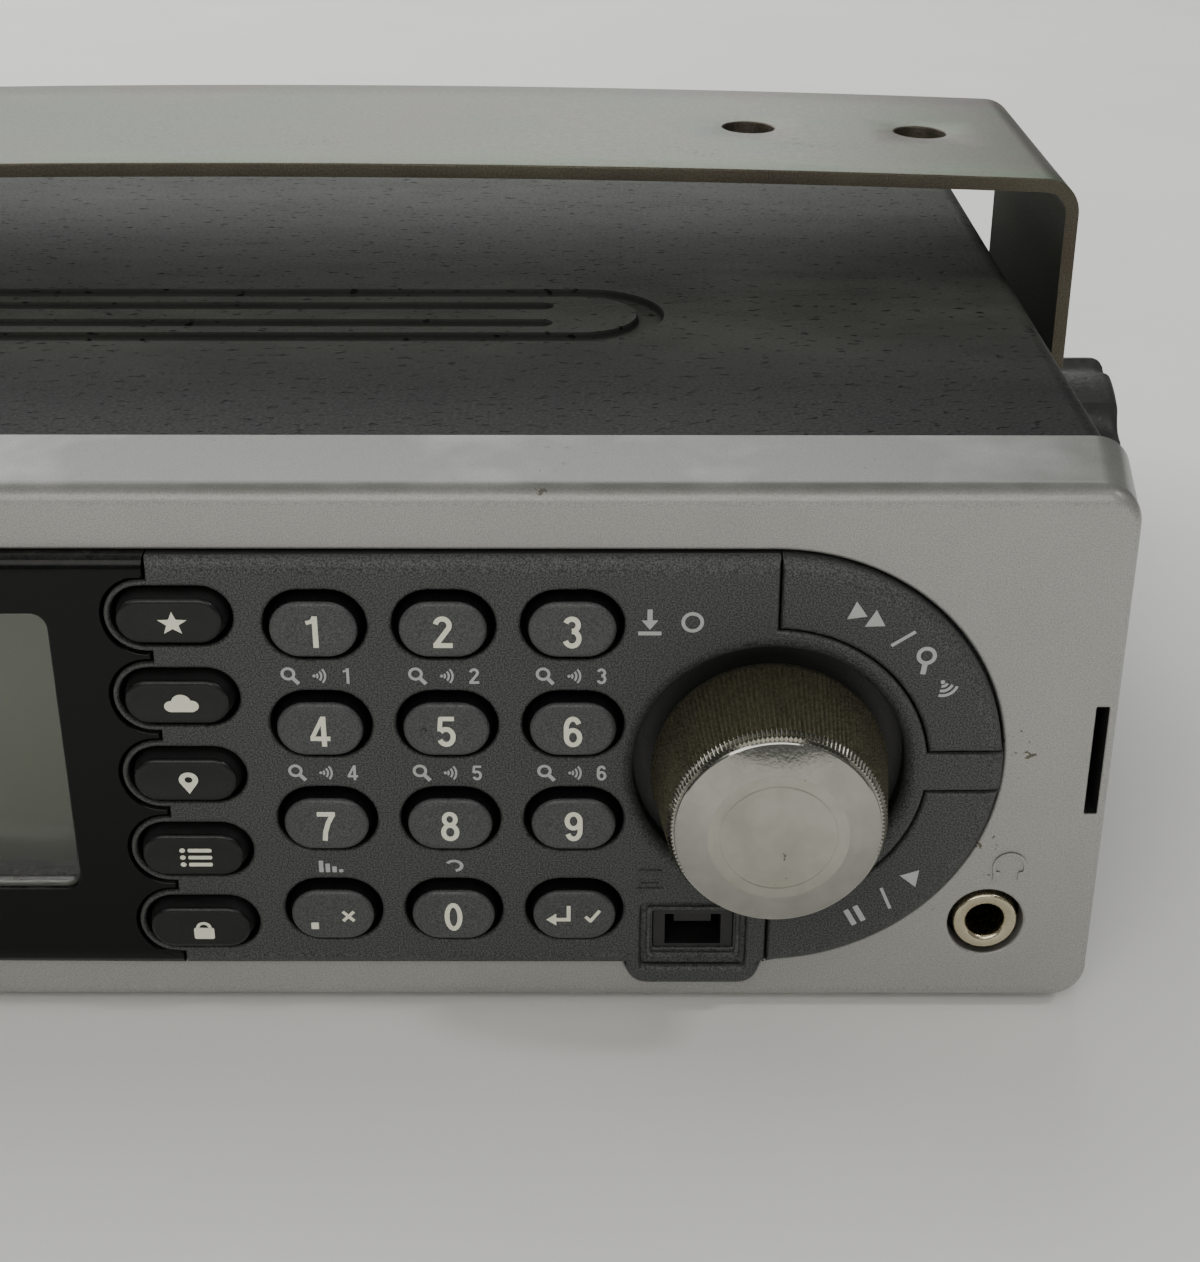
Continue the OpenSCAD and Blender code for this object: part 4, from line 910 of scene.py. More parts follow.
bezelLook = dict(rollWidth=2.0, rollDepth=1.9, sideWidth=0.8, sideDepth=1.2, wall=2.4, flareSide=1.1,
                 flareTop=0.8, cornerR=3.6, edge=0.28, slotW=1.2, slotH=11.4)
bezelMidZ = (bezelLow.z + bezelHigh.z) / 2
bezelBackY = frontY + 11.0
halfW, halfH = bezelHigh.x, (bezelHigh.z - bezelLow.z) / 2
frontLoop = roundRectLoop(0, bezelMidZ, 2 * (halfW - bezelLook["flareSide"]),
                          2 * (halfH - bezelLook["flareTop"]), bezelLook["cornerR"], 12)
backLoop = roundRectLoop(0, bezelMidZ, 2 * halfW, 2 * halfH, bezelLook["cornerR"], 12)
backLipLoop = roundRectLoop(0, bezelMidZ, 2 * halfW - 0.5, 2 * halfH - 0.5, bezelLook["cornerR"] - 0.25, 12)
innerLoop = roundRectLoop(0, bezelMidZ, 2 * (halfW - bezelLook["flareSide"] - bezelLook["wall"]),
                          2 * (halfH - bezelLook["flareTop"] - bezelLook["wall"]), 2.1, 12)
windowHole = combine({"window": [windowLoop(frontFit["gap"])], "bump": [bumpLoop(frontFit["gap"])]},
                     lambda inside: bool(inside))
slotX = halfW - 2.7
sideKnobs = {"volume": centreOf("volume_knob"), "squelch": centreOf("squelch_knob")}
holes = [windowHole[0], circleLoop(jackCentre.x, jackCentre.z, 3.65, 48)]
holes += [circleLoop(c.x, c.z, 3.9, 40) for c in sideKnobs.values()]
slots = [roundRectLoop(s * slotX, midZ + 0.4, bezelLook["slotW"], bezelLook["slotH"], 0.12, 2)
         for s in (-1, 1)]


def reversedLoops(loops):
    return [list(reversed([Vector(p) for p in loop])) for loop in loops]


def bezelEdge(p):
    across = max(abs(p.x) - halfW + bezelLook["flareSide"] + bezelLook["cornerR"], 0)
    up = max(abs(p.y - bezelMidZ) - halfH + bezelLook["flareTop"] + bezelLook["cornerR"], 0)
    share = up / (across + up)
    return tuple(bezelLook[a] + (bezelLook[b] - bezelLook[a]) * share
                 for a, b in (("sideWidth", "rollWidth"), ("sideDepth", "rollDepth")))


bezel = Shell()
tops, lows = plate(bezel, [frontLoop], frontY, frontY + bezelLook["rollDepth"] + 0.01, bezelEdge, 12,
                   frontFace=False, backFace=False)
backRing = bezel.ring(backLoop, bezelBackY - 0.25)
lipRing = bezel.ring(backLipLoop, bezelBackY)
cavityRing = bezel.ring(innerLoop, bezelBackY)
pocketRing = bezel.ring(innerLoop, frontY + bezelLook["wall"])
for a, b in ((lows[0], backRing), (backRing, lipRing), (lipRing, cavityRing), (cavityRing, pocketRing)):
    bezel.bridge(a, b)
holeTops, holeLows = plate(bezel, reversedLoops(holes), frontY, frontY + bezelLook["wall"],
                           lambda p: (bezelLook["edge"], bezelLook["edge"]), 4,
                           frontFace=False, backFace=False)
slotTops, slotLows = plate(bezel, reversedLoops(slots), frontY, bezelBackY - 2,
                           lambda p: (0.12, 0.12), 2, frontFace=False, backFace=False, wallMark=1)
bezel.fill([tops[0]] + holeTops + slotTops, True)
bezel.fill([pocketRing] + holeLows, False)
for ring in slotLows:
    bezel.fill([ring], True, 1)
# tongues that reach back inside the cover
for s in (-1, 1):
    boxShell(bezel, (s * 87.9 - 1.1, frontY + 2.3, 16), (s * 87.9 + 1.1, bezelHigh.y, 40.6))
makePiece("frontBezel", bezel, ["silverPaint", "blackPlastic"], nodes=["front_bezel"],
          sharpAngle=50)
print("stage: bezel")

# Keypad panel: speckled grey, rolled along the window, collars round the function keys.

panelLook = dict(rollWidth=1.9, rollDepth=1.25, opening=0.32, collarEdge=0.4,
                 recessEdge=1.25, frameDeep=0.7)
recessLoop = circleLoop(knobX, midZ, frontFit["recessR"], 96)
frameLoop = roundRectLoop(serialX, serialZ - 0.3, 10.2, 7.3, 0.6, 5)
socketHole = roundRectLoop(serialX, serialZ, 7.8, 4.4, 0.2, 3)
panelOutline = combine(
    {"window": [windowLoop(0)], "bump": [bumpLoop(0)], "right": [sideBlock(splitX, 120)],
     "collar": collarLoops, "arc": [arcKeyLoop(1, -0.01), arcKeyLoop(-1, -0.01)],
     "opening": fnOpenings + numberOpenings, "recess": [recessLoop], "frame": [frameLoop]},
    lambda inside: ((("window" in inside or "bump" in inside) and "right" in inside)
                    or "collar" in inside)
    and not inside & {"arc", "opening", "recess", "frame"})


def panelEdge(p):
    if onWindow(p, 0.02):
        return panelLook["rollWidth"], panelLook["rollDepth"]
    fromKnob = (p - Vector((knobX, midZ))).length
    if abs(fromKnob - frontFit["recessR"]) < 0.05:
        return panelLook["recessEdge"], panelLook["recessEdge"]
    if abs(fromKnob - frontFit["arcInner"]) < 0.2:
        return 0.4, 0.4
    if abs(p.x - fnX) < fnSize[0] / 2 + 0.7 and p.x < splitX:
        return panelLook["collarEdge"] * 0.6, panelLook["collarEdge"]
    if p.y < midZ - pillR + 0.1 or abs(p.x - serialX) < 6.6 and p.y < serialZ - 3:
        return 0.55, 0.55
    return panelLook["opening"], panelLook["opening"]


panel = Shell()
# the walls of the panel's openings and outline are black plastic (mark 1): painted shade in the gaps round
# the keys
plate(panel, panelOutline, panelY, frontY + 1.9, panelEdge, 7, wallMark=1)
# the knob recess floor is black plastic (mark 1): painted shade in the gap round the knob
plate(panel, [recessLoop] + reversedLoops([circleLoop(knobX, midZ, 4.8, 40)]), frontY + 1.5,
      frontY + 1.95, squareEdge, 1, faceMark=1)
plate(panel, [roundRectLoop(serialX, serialZ - 0.3, 10.3, 7.4, 0.6, 5)] + reversedLoops([socketHole]),
      panelY + panelLook["frameDeep"], frontY + 1.95, lambda p: (0.15, 0.15), 3)
# a second thin rib round the socket
plate(panel, [roundRectLoop(serialX, serialZ - 0.2, 9.0, 5.9, 0.5, 5)]
      + reversedLoops([roundRectLoop(serialX, serialZ - 0.1, 8.2, 4.9, 0.4, 5)]),
      panelY + 0.35, panelY + 0.8, lambda p: (0.12, 0.12), 3)
# the flange behind the bezel, and the web that joins it to the front
for grow, top, low in ((0.9, frontY + 2.41, panelHigh.y), (0, frontY + 1.9, frontY + 2.42)):
    plate(panel, combine(
        {"window": [windowLoop(grow)], "right": [sideBlock(splitX, 120)], "collar": collarLoops,
         "opening": fnOpenings + numberOpenings, "bush": [circleLoop(knobX, midZ, 4.8, 40)],
         "socket": [socketHole]},
        lambda inside: (("window" in inside and "right" in inside) or "collar" in inside)
        and not inside & {"opening", "bush", "socket"}), top, low, squareEdge, 1)
# raised computer sign beside the serial socket, in the panel's own paint
printSign(panel, "computer", serialX - 4.2, serialZ + 5.9, 2.5, panelY, thick=0.14)
makePiece("keypadPanel", panel, ["speckledGrey", "blackPlastic"], nodes=["keypad_panel"])
print("stage: keypad panel")

# Display lens: black acrylic with a rolled upper edge.

lensLook = dict(rollWidth=1.9, rollDepth=1.25, edge=0.25)
lcdCentre = centreOf("display_window")
windowBoxLow, windowBoxHigh = boxOf("display_window")
openingSize = (windowBoxHigh.x - windowBoxLow.x, windowBoxHigh.z - windowBoxLow.z)
lensCollars = [stadiumLoop(fnX, centreOf(n).z, fnSize[0] + 2 * frontFit["collar"] + 0.5,
                           fnSize[1] + 2 * frontFit["collar"] + 0.5, 18) for n in fnNodes]
lcdOpening = roundRectLoop(lcdCentre.x, lcdCentre.z, openingSize[0], openingSize[1], 1.5, 8)


def lensOutline(grow, right):
    return combine({"window": [windowLoop(grow)], "left": [sideBlock(-120, right)], "collar": lensCollars,
                    "lcd": [lcdOpening]},
                   lambda inside: {"window", "left"} <= inside and not inside & {"collar", "lcd"})


def lensEdge(p):
    if onWindow(p, 0.02):
        return lensLook["rollWidth"], lensLook["rollDepth"]
    return lensLook["edge"], lensLook["edge"]


lens = Shell()
plate(lens, lensOutline(0, splitX - 0.15), panelY, frontY + 2.4, lensEdge, 8)
plate(lens, lensOutline(1.0, splitX - 0.2), frontY + 2.41, lensHigh.y, squareEdge, 1)
makePiece("displayLens", lens, ["blackAcrylic"], nodes=["display_lens"])

pane = Shell()
plate(pane, [roundRectLoop(lcdCentre.x, lcdCentre.z, openingSize[0] - 0.06, openingSize[1] - 0.06, 1.47, 8)],
      panelY + 0.25, frontY + 0.5, lambda p: (0.15, 0.15), 3)
makePiece("displayWindow", pane, ["clearAcrylic"], nodes=["display_window"])
print("stage: display")

# Keys.

keyLook = dict(gap=0.45, faceInset=0.3, edge=0.5, dish=0.14, flange=0.6)


def dishedTop(shell, cx, cz, w, h, top):
    # the face sinks a little towards its middle
    rings = []
    for k in range(5):
        share = 1 - k / 4.6
        rings.append(shell.ring(stadiumLoop(cx, cz, w - h + h * share, h * share, 20),
                                top + keyLook["dish"] * (1 - share ** 2)))
    for a, b in zip(rings[1:], rings):
        shell.bridge(a, b)
    shell.fill([rings[-1]])


def padKeyShell(cx, cz, w, h, top, back):
    bodyW, bodyH = w - 2 * keyLook["gap"], h - 2 * keyLook["gap"]
    shell = Shell()
    rings = []
    edge, inset = keyLook["edge"], keyLook["faceInset"]
    for k in range(7):
        turn = math.pi / 2 * k / 6
        grow = -inset - edge * (1 - math.sin(turn))
        rings.append(shell.ring(stadiumLoop(cx, cz, bodyW + 2 * grow, bodyH + 2 * grow, 20),
                                top + edge * 0.8 * (1 - math.cos(turn))))
    rings.append(shell.ring(stadiumLoop(cx, cz, bodyW, bodyH, 20), top + 1.9))
    rings.append(shell.ring(stadiumLoop(cx, cz, bodyW, bodyH, 20), back))
    for a, b in zip(rings, rings[1:]):
        shell.bridge(a, b, 2 if b is rings[-1] or b is rings[-2] else 0)
    faceW, faceH = bodyW - 2 * (inset + edge), bodyH - 2 * (inset + edge)
    dishedTop(shell, cx, cz, faceW, faceH, top)
    shell.fill([rings[-1]], False)
    # flange that holds the key behind the panel
    flangeLoop = stadiumLoop(cx, cz, w + 2 * keyLook["flange"], h + 2 * keyLook["flange"], 20)
    plate(shell, [flangeLoop], back - 0.79, back, lambda p: (0.1, 0.1), 2)
    return shell


def keyFace(node):
    low, high = boxOf(node)
    return (low.x + high.x) / 2, (low.z + high.z) / 2, low.y, high.y


for node in numberNodes:
    cx, cz, top, back = keyFace(node)
    shell = padKeyShell(cx, cz, numSize[0], numSize[1], top, back)
    inkY = top + keyLook["dish"] * 0.62
    if node == "key_point":
        plate(shell, [roundRectLoop(cx - 1.75, cz - 1.2, 0.72, 0.72, 0.08, 2)], inkY - 0.06, inkY + 0.1,
              lambda p: (0.02, 0.02), 1, 1)
        printSign(shell, "cross", cx + 1.5, cz - 0.1, 1.5, inkY, 1, thick=0.06)
    elif node == "key_enter":
        printSign(shell, "enter", cx - 1.45, cz, 2.2, inkY, 1, thick=0.06)
        printSign(shell, "tick", cx + 1.75, cz - 0.1, 1.6, inkY, 1, thick=0.06)
    else:
        printSign(shell, node[-1], cx, cz - 0.15, 3.1, inkY, 1, thick=0.06, stretch=0.95)
    if node == "key_5":
        # locating nub for the fingertip
        turned(shell, cx - 2.1, cz - 0.1, [(0.0, top - 0.12), (0.2, top - 0.08), (0.3, top + 0.1)], 14)
    makePiece("numberKey_" + node[4:], shell, ["keyGrey", "whiteInk", "blackKey"], body=node, nodes=[node])
fnSigns = ["star", "cloud", "pin", "list", "lock"]
for node, sign in zip(fnNodes, fnSigns):
    cx, cz, top, back = keyFace(node)
    shell = padKeyShell(cx, cz, fnSize[0], fnSize[1], top, back)
    printSign(shell, sign, cx + 0.3, cz - 0.2, 2.15, top + keyLook["dish"] * 0.62, 1, stretch=1.15,
              thick=0.06)
    makePiece("functionKey_" + node[-1], shell, ["blackKey", "whiteInk", "blackPlastic"], body=node,
              nodes=[node])

arcLook = dict(rollWidth=1.9, rollDepth=1.2, edge=0.4)


def arcEdge(p):
    fromKnob = (p - Vector((knobX, midZ))).length
    if fromKnob > pillR - 0.36:
        return arcLook["rollWidth"], arcLook["rollDepth"]
    return arcLook["edge"], arcLook["edge"]


# each key: its side of the knob, and its signs as (degrees from level, sign, size)
arcSets = {"scan_key": (1, [(66, "play", 1.9), (60, "play", 1.9), (50.5, "slash", 2.0), (41, "lens", 2.4),
                            (30, "waves", 2.0)]),
           "hold_key": (-1, [(61, "pause", 2.0), (50, "slash", 2.0), (39, "play", 2.0)])}
arcMidR = (pillR + frontFit["arcInner"]) / 2
for node, (side, signs) in arcSets.items():
    _, high = boxOf(node)
    shell = Shell()
    plate(shell, [arcKeyLoop(side, 0.16)], panelY, frontY + 0.8, arcEdge, 8)
    for degrees, sign, size in signs:
        x, z = ovalPoints(knobX, midZ, arcMidR - 0.15, arcMidR - 0.15, degrees * side, 90, 1)[0]
        printSign(shell, sign, x, z, size, panelY, 1, side * (degrees - 90), thick=0.05)
    # stems that reach the switches
    for degrees in (30, 60):
        x, z = ovalPoints(knobX, midZ, arcMidR, arcMidR, degrees * side, 90, 1)[0]
        turned(shell, x, z, [(0.0, frontY + 0.5), (1.5, frontY + 0.5), (1.5, high.y - 0.7),
                             (2.3, high.y - 0.6), (2.3, high.y), (0.0, high.y)], 24)
    makePiece(node.replace("_key", "Key"), shell, ["speckledGrey", "greyInk"], body=node, nodes=[node])

# printed labels on the panel
labels = Shell()
for i, node in enumerate(numberNodes[:8]):
    c = centreOf(node)
    z = c.z - numSize[1] / 2 - 1.62
    if i < 6:
        printSign(labels, "lens", c.x - 2.5, z, 1.75, panelY, thick=0.04)
        printSign(labels, "waves", c.x + 0.1, z, 1.45, panelY, thick=0.04)
        printSign(labels, str(i + 1), c.x + 2.6, z, 1.55, panelY, thick=0.04)
    else:
        printSign(labels, "steps" if i == 6 else "back", c.x, z, 1.6, panelY, thick=0.04, stretch=1.3)
# the knob's own label: push, and turn
for sign, x, size in (("push", 47.6, 2.3), ("dial", 51.4, 2.1)):
    printSign(labels, sign, x, centreOf("key_1").z + 0.35, size, panelY, thick=0.04)
makePiece("panelLabels", labels, ["greyInk"])

emboss = Shell()
printSign(emboss, "phones", jackCentre.x + 1.8, jackCentre.z + 6.4, 3.3, frontY, thick=0.2)
makePiece("headphoneSign", emboss, ["silverPaint"])
print("stage: keys and prints")

# Scroll knob: dark knurled body, bright toothed rim, spun cap.

knobLow, _ = boxOf("scroll_knob")
capLow, capHigh = boxOf("scroll_cap")
knobLook = dict(rBase=11.0, rRim=9.7, teeth=144, toothHigh=0.24, rimBand=0.75, capR=9.15, discR=6.25)
rimY, skirtY = knobLow.y, frontY - 1.2


def knobRadius(y):
    share = (y - rimY) / (skirtY - rimY)
    return knobLook["rRim"] + (knobLook["rBase"] - knobLook["rRim"]) * min(max(share, 0), 1)


body = Shell()
core, capR, rimR, baseR = (knobLook[key] for key in ("toothHigh", "capR", "rRim", "rBase"))
turned(body, knobX, midZ, [
    (capR + 0.02, rimY + 1.1), (capR + 0.02, rimY + 0.25), (rimR - core, rimY + 0.2),
    (knobRadius(rimY + 3) - core, rimY + 3), (knobRadius(rimY + 6) - core, rimY + 6),
    (baseR - core, skirtY), (baseR - core, frontY - 0.2), (baseR - 0.5, frontY + 0.2),
    (baseR - 1.4, frontY + 0.2), (8.1, frontY - 5.5), (5.2, frontY - 5.5), (5.2, frontY - 2.8),
    (3.02, frontY - 2.8), (3.02, rimY + 1.1), (capR + 0.02, rimY + 1.1)], 144)
makePiece("scrollKnobBody", body, ["darkAnodised"], body="scroll_knob", nodes=["scroll_knob"])


# one straight tooth of a knurl, standing on +X of the knob's centre
def toothShell(yFront, yBack, high, radiusAt, count, tip=0.12):
    half = math.pi / count
    shell = Shell()
    for y in (yFront, yFront + 0.01, yBack):
        r = radiusAt(y)
        low = r - high
        shell.points += [(low * math.cos(half), y, -low * math.sin(half)),
                         (r * math.cos(half * tip), y, -r * math.sin(half * tip)),
                         (r * math.cos(half * tip), y, r * math.sin(half * tip)),
                         (low * math.cos(half), y, low * math.sin(half)), (low - 0.3, y, 0.0)]
    for a in (0, 5):
        for i in range(5):
            j = (i + 1) % 5
            shell.face((a + i, a + 5 + i, a + 5 + j, a + j), 0, False)
    shell.face(range(5), 0, False)
    shell.face(range(14, 9, -1), 0, False)
    return shell


axisY = (0.0, -1.0, 0.0)
knobSpot = (knobX * mm, 0.0, midZ * mm)
band = rimY + knobLook["rimBand"]
# the cutter has bared the metal where the knurl meets the front rim
for name, ends, radiusAt, finish, slotName in (
        ("Knurl", (band, skirtY), knobRadius, "darkAnodised", "dark_knurl"),
        ("RimTeeth", (rimY + 0.02, band + 0.01),
         lambda y: knobRadius(y) - 0.28 * max(0, 1 - (y - rimY) / 0.5), "cutAluminium", "spun_aluminium")):
    tooth = toothShell(*ends, core + 0.02, radiusAt, knobLook["teeth"])
    repeatPart("scrollKnob" + name, ringTree, partObject(tooth), dict(
        Count=knobLook["teeth"], Axis=axisY, Centre=knobSpot), finish, "scroll_knob", ())
rim = Shell()
turned(rim, knobX, midZ, [
    (capR + 0.03, rimY + 0.5), (capR + 0.03, rimY + 0.1), (rimR - 0.3, rimY + 0.02),
    (rimR - core - 0.02, rimY + 0.35), (rimR - core - 0.02, rimY + 0.7), (capR + 0.03, rimY + 0.5)], 144)
makePiece("scrollKnobRim", rim, ["cutAluminium"], body="scroll_knob")

# cap: a shallow turned groove, a flat disc and a bevelled border
cap = Shell()
capTop, discR = capLow.y, knobLook["discR"]
turned(cap, knobX, midZ, [
    (0.0, capTop), (5.1, capTop), (5.18, capTop + 0.03), (5.26, capTop), (discR - 0.12, capTop),
    (discR, capTop + 0.02), (capR - 0.14, capTop + 0.8), (capR - 0.04, capTop + 0.88),
    (capR, capTop + 1.0), (capR, rimY + 0.1), (capR, capHigh.y), (0.0, capHigh.y)], 128)
capPiece = makePiece("scrollKnobCap", cap, ["spunAluminium", "cutAluminium"], body="scroll_knob",
                     nodes=["scroll_cap"], sharpAngle=14)
for polygon in capPiece.data.polygons:
    centre = polygon.center / mm
    if (Vector((centre.x, centre.z)) - Vector((knobX, midZ))).length > discR - 0.05:
        polygon.material_index = 1
print("stage: scroll knob")

# Volume and squelch knobs.

sideLook = dict(r=6.2, ribs=60, ribHigh=0.22)
for name, node in (("volume", "volume_knob"), ("squelch", "squelch_knob")):
    c = sideKnobs[name]
    low, high = boxOf(node)
    r, frontKnobY = sideLook["r"], low.y
    shell = Shell()
    turned(shell, c.x, c.z, [(0.0, frontKnobY + 0.15), (4.6, frontKnobY + 0.1), (4.7, frontKnobY)]
           + [(r - 0.6 + 0.6 * math.sin(t), frontKnobY + 0.6 * (1 - math.cos(t)))
              for t in (0.0, 0.4, 0.8, 1.2, math.pi / 2)]
           + [(r - 0.25, frontKnobY + 1.2), (r - 0.25, frontY - 1.4), (r, frontY - 1.2), (r, frontY - 0.6),
              (4.1, frontY - 0.6), (4.1, frontY - 3), (2.0, frontY - 3), (2.0, frontKnobY + 1.5),
              (0.0, frontKnobY + 1.5)], 72)
    makePiece(name + "KnobBody", shell, ["silverKnob"], body=name, nodes=[node],
              sharpAngle=30)
    rib = toothShell(frontKnobY + 1.2, frontY - 1.35, sideLook["ribHigh"] + 0.05, lambda y: r,
                     sideLook["ribs"], 0.4)
    repeatPart(name + "KnobRibs", ringTree, partObject(rib), dict(Count=sideLook["ribs"], Axis=axisY,
               Centre=(c.x * mm, 0.0, c.z * mm)), "silverKnob", name, ())
    pointer = Shell()
    plate(pointer, [roundRectLoop(c.x, c.z + 3.4, 0.8, 3.0, 0.3, 4)], frontKnobY, frontKnobY + 0.3,
          lambda p: (0.05, 0.05), 2)
    makePiece(name + "Pointer", pointer, ["blackPlastic"], body=name)

# Headphone socket.

_, ferruleHigh = boxOf("headphone_ferrule")
ferrule = Shell()
bore, outer = 1.8, 3.1
ferruleProfile = ([(bore, ferruleHigh.y), (bore, frontY + 0.9)]
                  + [(bore + 0.55 * (1 - math.cos(t)), frontY + 0.55 - 0.45 * math.sin(t))
                     for t in (0.0, 0.5, 1.0, 1.4)]
                  + [(outer - 0.35 + 0.35 * math.sin(t), frontY + 0.05 + 0.35 * (1 - math.cos(t)))
                     for t in (0.0, 0.4, 0.8, 1.2, math.pi / 2)]
                  + [(outer, ferruleHigh.y), (bore, ferruleHigh.y)])
turned(ferrule, jackCentre.x, jackCentre.z, ferruleProfile, 64)
makePiece("headphoneFerrule", ferrule, ["nickelPlate"], nodes=["headphone_ferrule"],
          sharpAngle=35)
print("stage: side knobs and headphone socket")

# Cover: powder coated sheet folded over the chassis, with a pressed mark.

coverLook = dict(sheet=1.2, edgeR=2.6, pressDeep=0.8, pressSlope=0.3, ringW=100, ringH=18.5, band=3.0,
                 barW=76, barH=2.6, barStep=3.0)
coverLow, coverHigh = boxOf("top_cover")
coverX, coverTop = coverHigh.x, coverHigh.z
foldX, foldR = coverX - coverLook["edgeR"], coverLook["edgeR"]
foldLength = math.pi / 2 * foldR
sideLength = coverTop - foldR - coverLow.z


def foldCover(p):
    # p is (distance along the section from the middle, depth into the sheet, place along Y)
    side = 1 if p.x >= 0 else -1
    run, depth = abs(p.x), p.y
    if run <= foldX:
        return (p.x, p.z, coverTop - depth)
    if run <= foldX + foldLength:
        turn = (run - foldX) / foldR
        r = foldR - depth
        return (side * (foldX + r * math.sin(turn)), p.z, coverTop - foldR + r * math.cos(turn))
    return (side * (coverX - depth), p.z, coverTop - foldR - (run - foldX - foldLength))


def sideRun(side, z):
    return side * (foldX + foldLength + coverTop - foldR - z)


pivot = centreOf("thumb_knob_right")
screwSpots = [(coverLow.y + 6, 18.0), (coverLow.y + 6, 40.5), (pivot.y - 24, 8.0), (coverHigh.y - 17, 8.0)]
cover = Shell()
columns = [-foldX - foldLength - sideLength]
folds = [-foldX - foldLength + foldLength * i / 8 for i in range(9)]
columns += folds + [-f for f in reversed(folds)] + [foldX + foldLength + sideLength]
pressY = frontY + 48.5


def pressLoops():
    outerRing = stadiumLoop(0, pressY, coverLook["ringW"], coverLook["ringH"], 28)
    innerRing = stadiumLoop(0, pressY, coverLook["ringW"] - 2 * coverLook["band"],
                            coverLook["ringH"] - 2 * coverLook["band"], 28)
    bars = [stadiumLoop(0, pressY + s * coverLook["barStep"], coverLook["barW"], coverLook["barH"], 8)
            for s in (-1, 1)]
    return [[outerRing, list(reversed(innerRing))]] + [[bar] for bar in bars]


for inner in (False, True):
    depth = coverLook["sheet"] if inner else 0.0
    for left, right in zip(columns, columns[1:]):
        cell = [(left, coverLow.y), (right, coverLow.y), (right, coverHigh.y), (left, coverHigh.y)]
        rings = [cover.ring(cell, depth)]
        if abs(left + right) < 1e-6 and not inner:
            for group in pressLoops():
                floors = []
                for loop in group:
                    last = cover.ring(loop, depth)
                    rings.append(last)
                    for k in range(1, 5):
                        share = k / 4
                        sink = coverLook["pressDeep"] * (1 - math.cos(math.pi * share)) / 2
                        outline = insetLoop(loop, [coverLook["pressSlope"] * share] * len(loop))
                        ring = cover.ring(outline, depth + sink)
                        cover.bridge(ring, last)
                        last = ring
                    floors.append(last)
                cover.fill(floors, True)
        if left < -foldX - foldLength - 1 or right > foldX + foldLength + 1:
            side = -1 if left < 0 else 1
            spots = [(sideRun(side, z), y, 1.7) for y, z in screwSpots]
            spots.append((sideRun(side, pivot.z), pivot.y, 3.65))
            for s, y, r in spots:
                rings.append(cover.ring(circleLoop(s, y, r, 24), depth))
        cover.fill(rings, not inner)
for left, right in zip(columns, columns[1:]):
    for y, way in ((coverLow.y, 1), (coverHigh.y, -1)):
        corners = cover.ring([(left, y), (right, y)], 0.0) + cover.ring([(right, y), (left, y)],
                                                                          coverLook["sheet"])
        cover.face(corners[::way], 0, False)
for s, way in ((columns[0], -1), (columns[-1], 1)):
    corners = cover.ring([(s, coverLow.y), (s, coverHigh.y)], 0.0) + cover.ring(
        [(s, coverHigh.y), (s, coverLow.y)], coverLook["sheet"])
    cover.face(corners[::way], 0, False)
for side in (-1, 1):
    for y, z in screwSpots + [(pivot.y, pivot.z)]:
        r = 3.65 if (y, z) == (pivot.y, pivot.z) else 1.7
        loop = list(reversed(circleLoop(sideRun(side, z), y, r, 24)))
        cover.bridge(cover.ring(loop, 0.0), cover.ring(loop, coverLook["sheet"]), soft=False)
cover.soft = [True] * len(cover.soft)
cover.map(foldCover)
makePiece("topCover", cover, ["powderCoat"], nodes=["top_cover"], sharpAngle=24)
print("stage: cover")

# Bracket: bent steel strap.

strapLook = dict(sheet=1.5, bendR=4.0, bow=1.7, edge=0.22, holeR=3.05)
strapLow, strapHigh = boxOf("bracket")
strapHalf = (strapHigh.y - strapLow.y) / 2
strapY = (strapHigh.y + strapLow.y) / 2
armX, bendR = strapHigh.x, strapLook["bendR"]
footR = strapHalf * 2 / 3
bowX, endZ = armX - bendR, strapHigh.z - strapLook["bow"]
bendRun = math.pi / 2 * bendR
pivotZ = strapLow.z + footR
armRun = endZ - bendR - pivotZ
strapHoles = [side * (armX - 15 - k * 20.4) for side in (-1, 1) for k in (0, 1)]


def bendStrap(p):
    side = 1 if p.x >= 0 else -1
    run, depth = abs(p.x), p.y
    if run <= bowX:
        z = endZ + strapLook["bow"] * (1 - (run / bowX) ** 2)
        tilt = math.atan(2 * strapLook["bow"] * run / bowX ** 2)
        return (side * (run - depth * math.sin(tilt)), p.z, z - depth * math.cos(tilt))
    if run <= bowX + bendRun:
        turn = (run - bowX) / bendR
        r = bendR - depth
        return (side * (bowX + r * math.sin(turn)), p.z, endZ - bendR + r * math.cos(turn))
    return (side * (armX - depth), p.z, endZ - bendR - (run - bowX - bendRun))


runs = [bowX * i / 26 for i in range(27)] + [bowX + bendRun * i / 10 for i in range(1, 11)]
runs += [bowX + bendRun + (armRun - footR) * i / 4 for i in range(1, 5)]
edgeRuns = [-r for r in reversed(runs)] + runs[1:]
footMid = bowX + bendRun + armRun
farEdge = [(r, strapY - strapHalf) for r in edgeRuns]
rightFoot = [(footMid + footR * math.cos(a), strapY + footR * math.sin(a))
             for a in [math.pi * (i / 24 - 0.5) for i in range(25)]]
nearEdge = [(r, strapY + strapHalf) for r in reversed(edgeRuns)]
leftFoot = [(-x, 2 * strapY - y) for x, y in rightFoot]
strapLoop = farEdge + rightFoot + nearEdge + leftFoot
holeLoops = [circleLoop(s, strapY, strapLook["holeR"], 36) for s in strapHoles]
holeLoops += [circleLoop(s * footMid, strapY, 2.8, 32) for s in (-1, 1)]
gridPoints = [(r, strapY + v) for r in edgeRuns for v in (-14, -7, 0, 7, 14)
              if all((Vector((r, strapY + v)) - Vector((s, strapY))).length > 4 for s in strapHoles)]
strap = Shell()
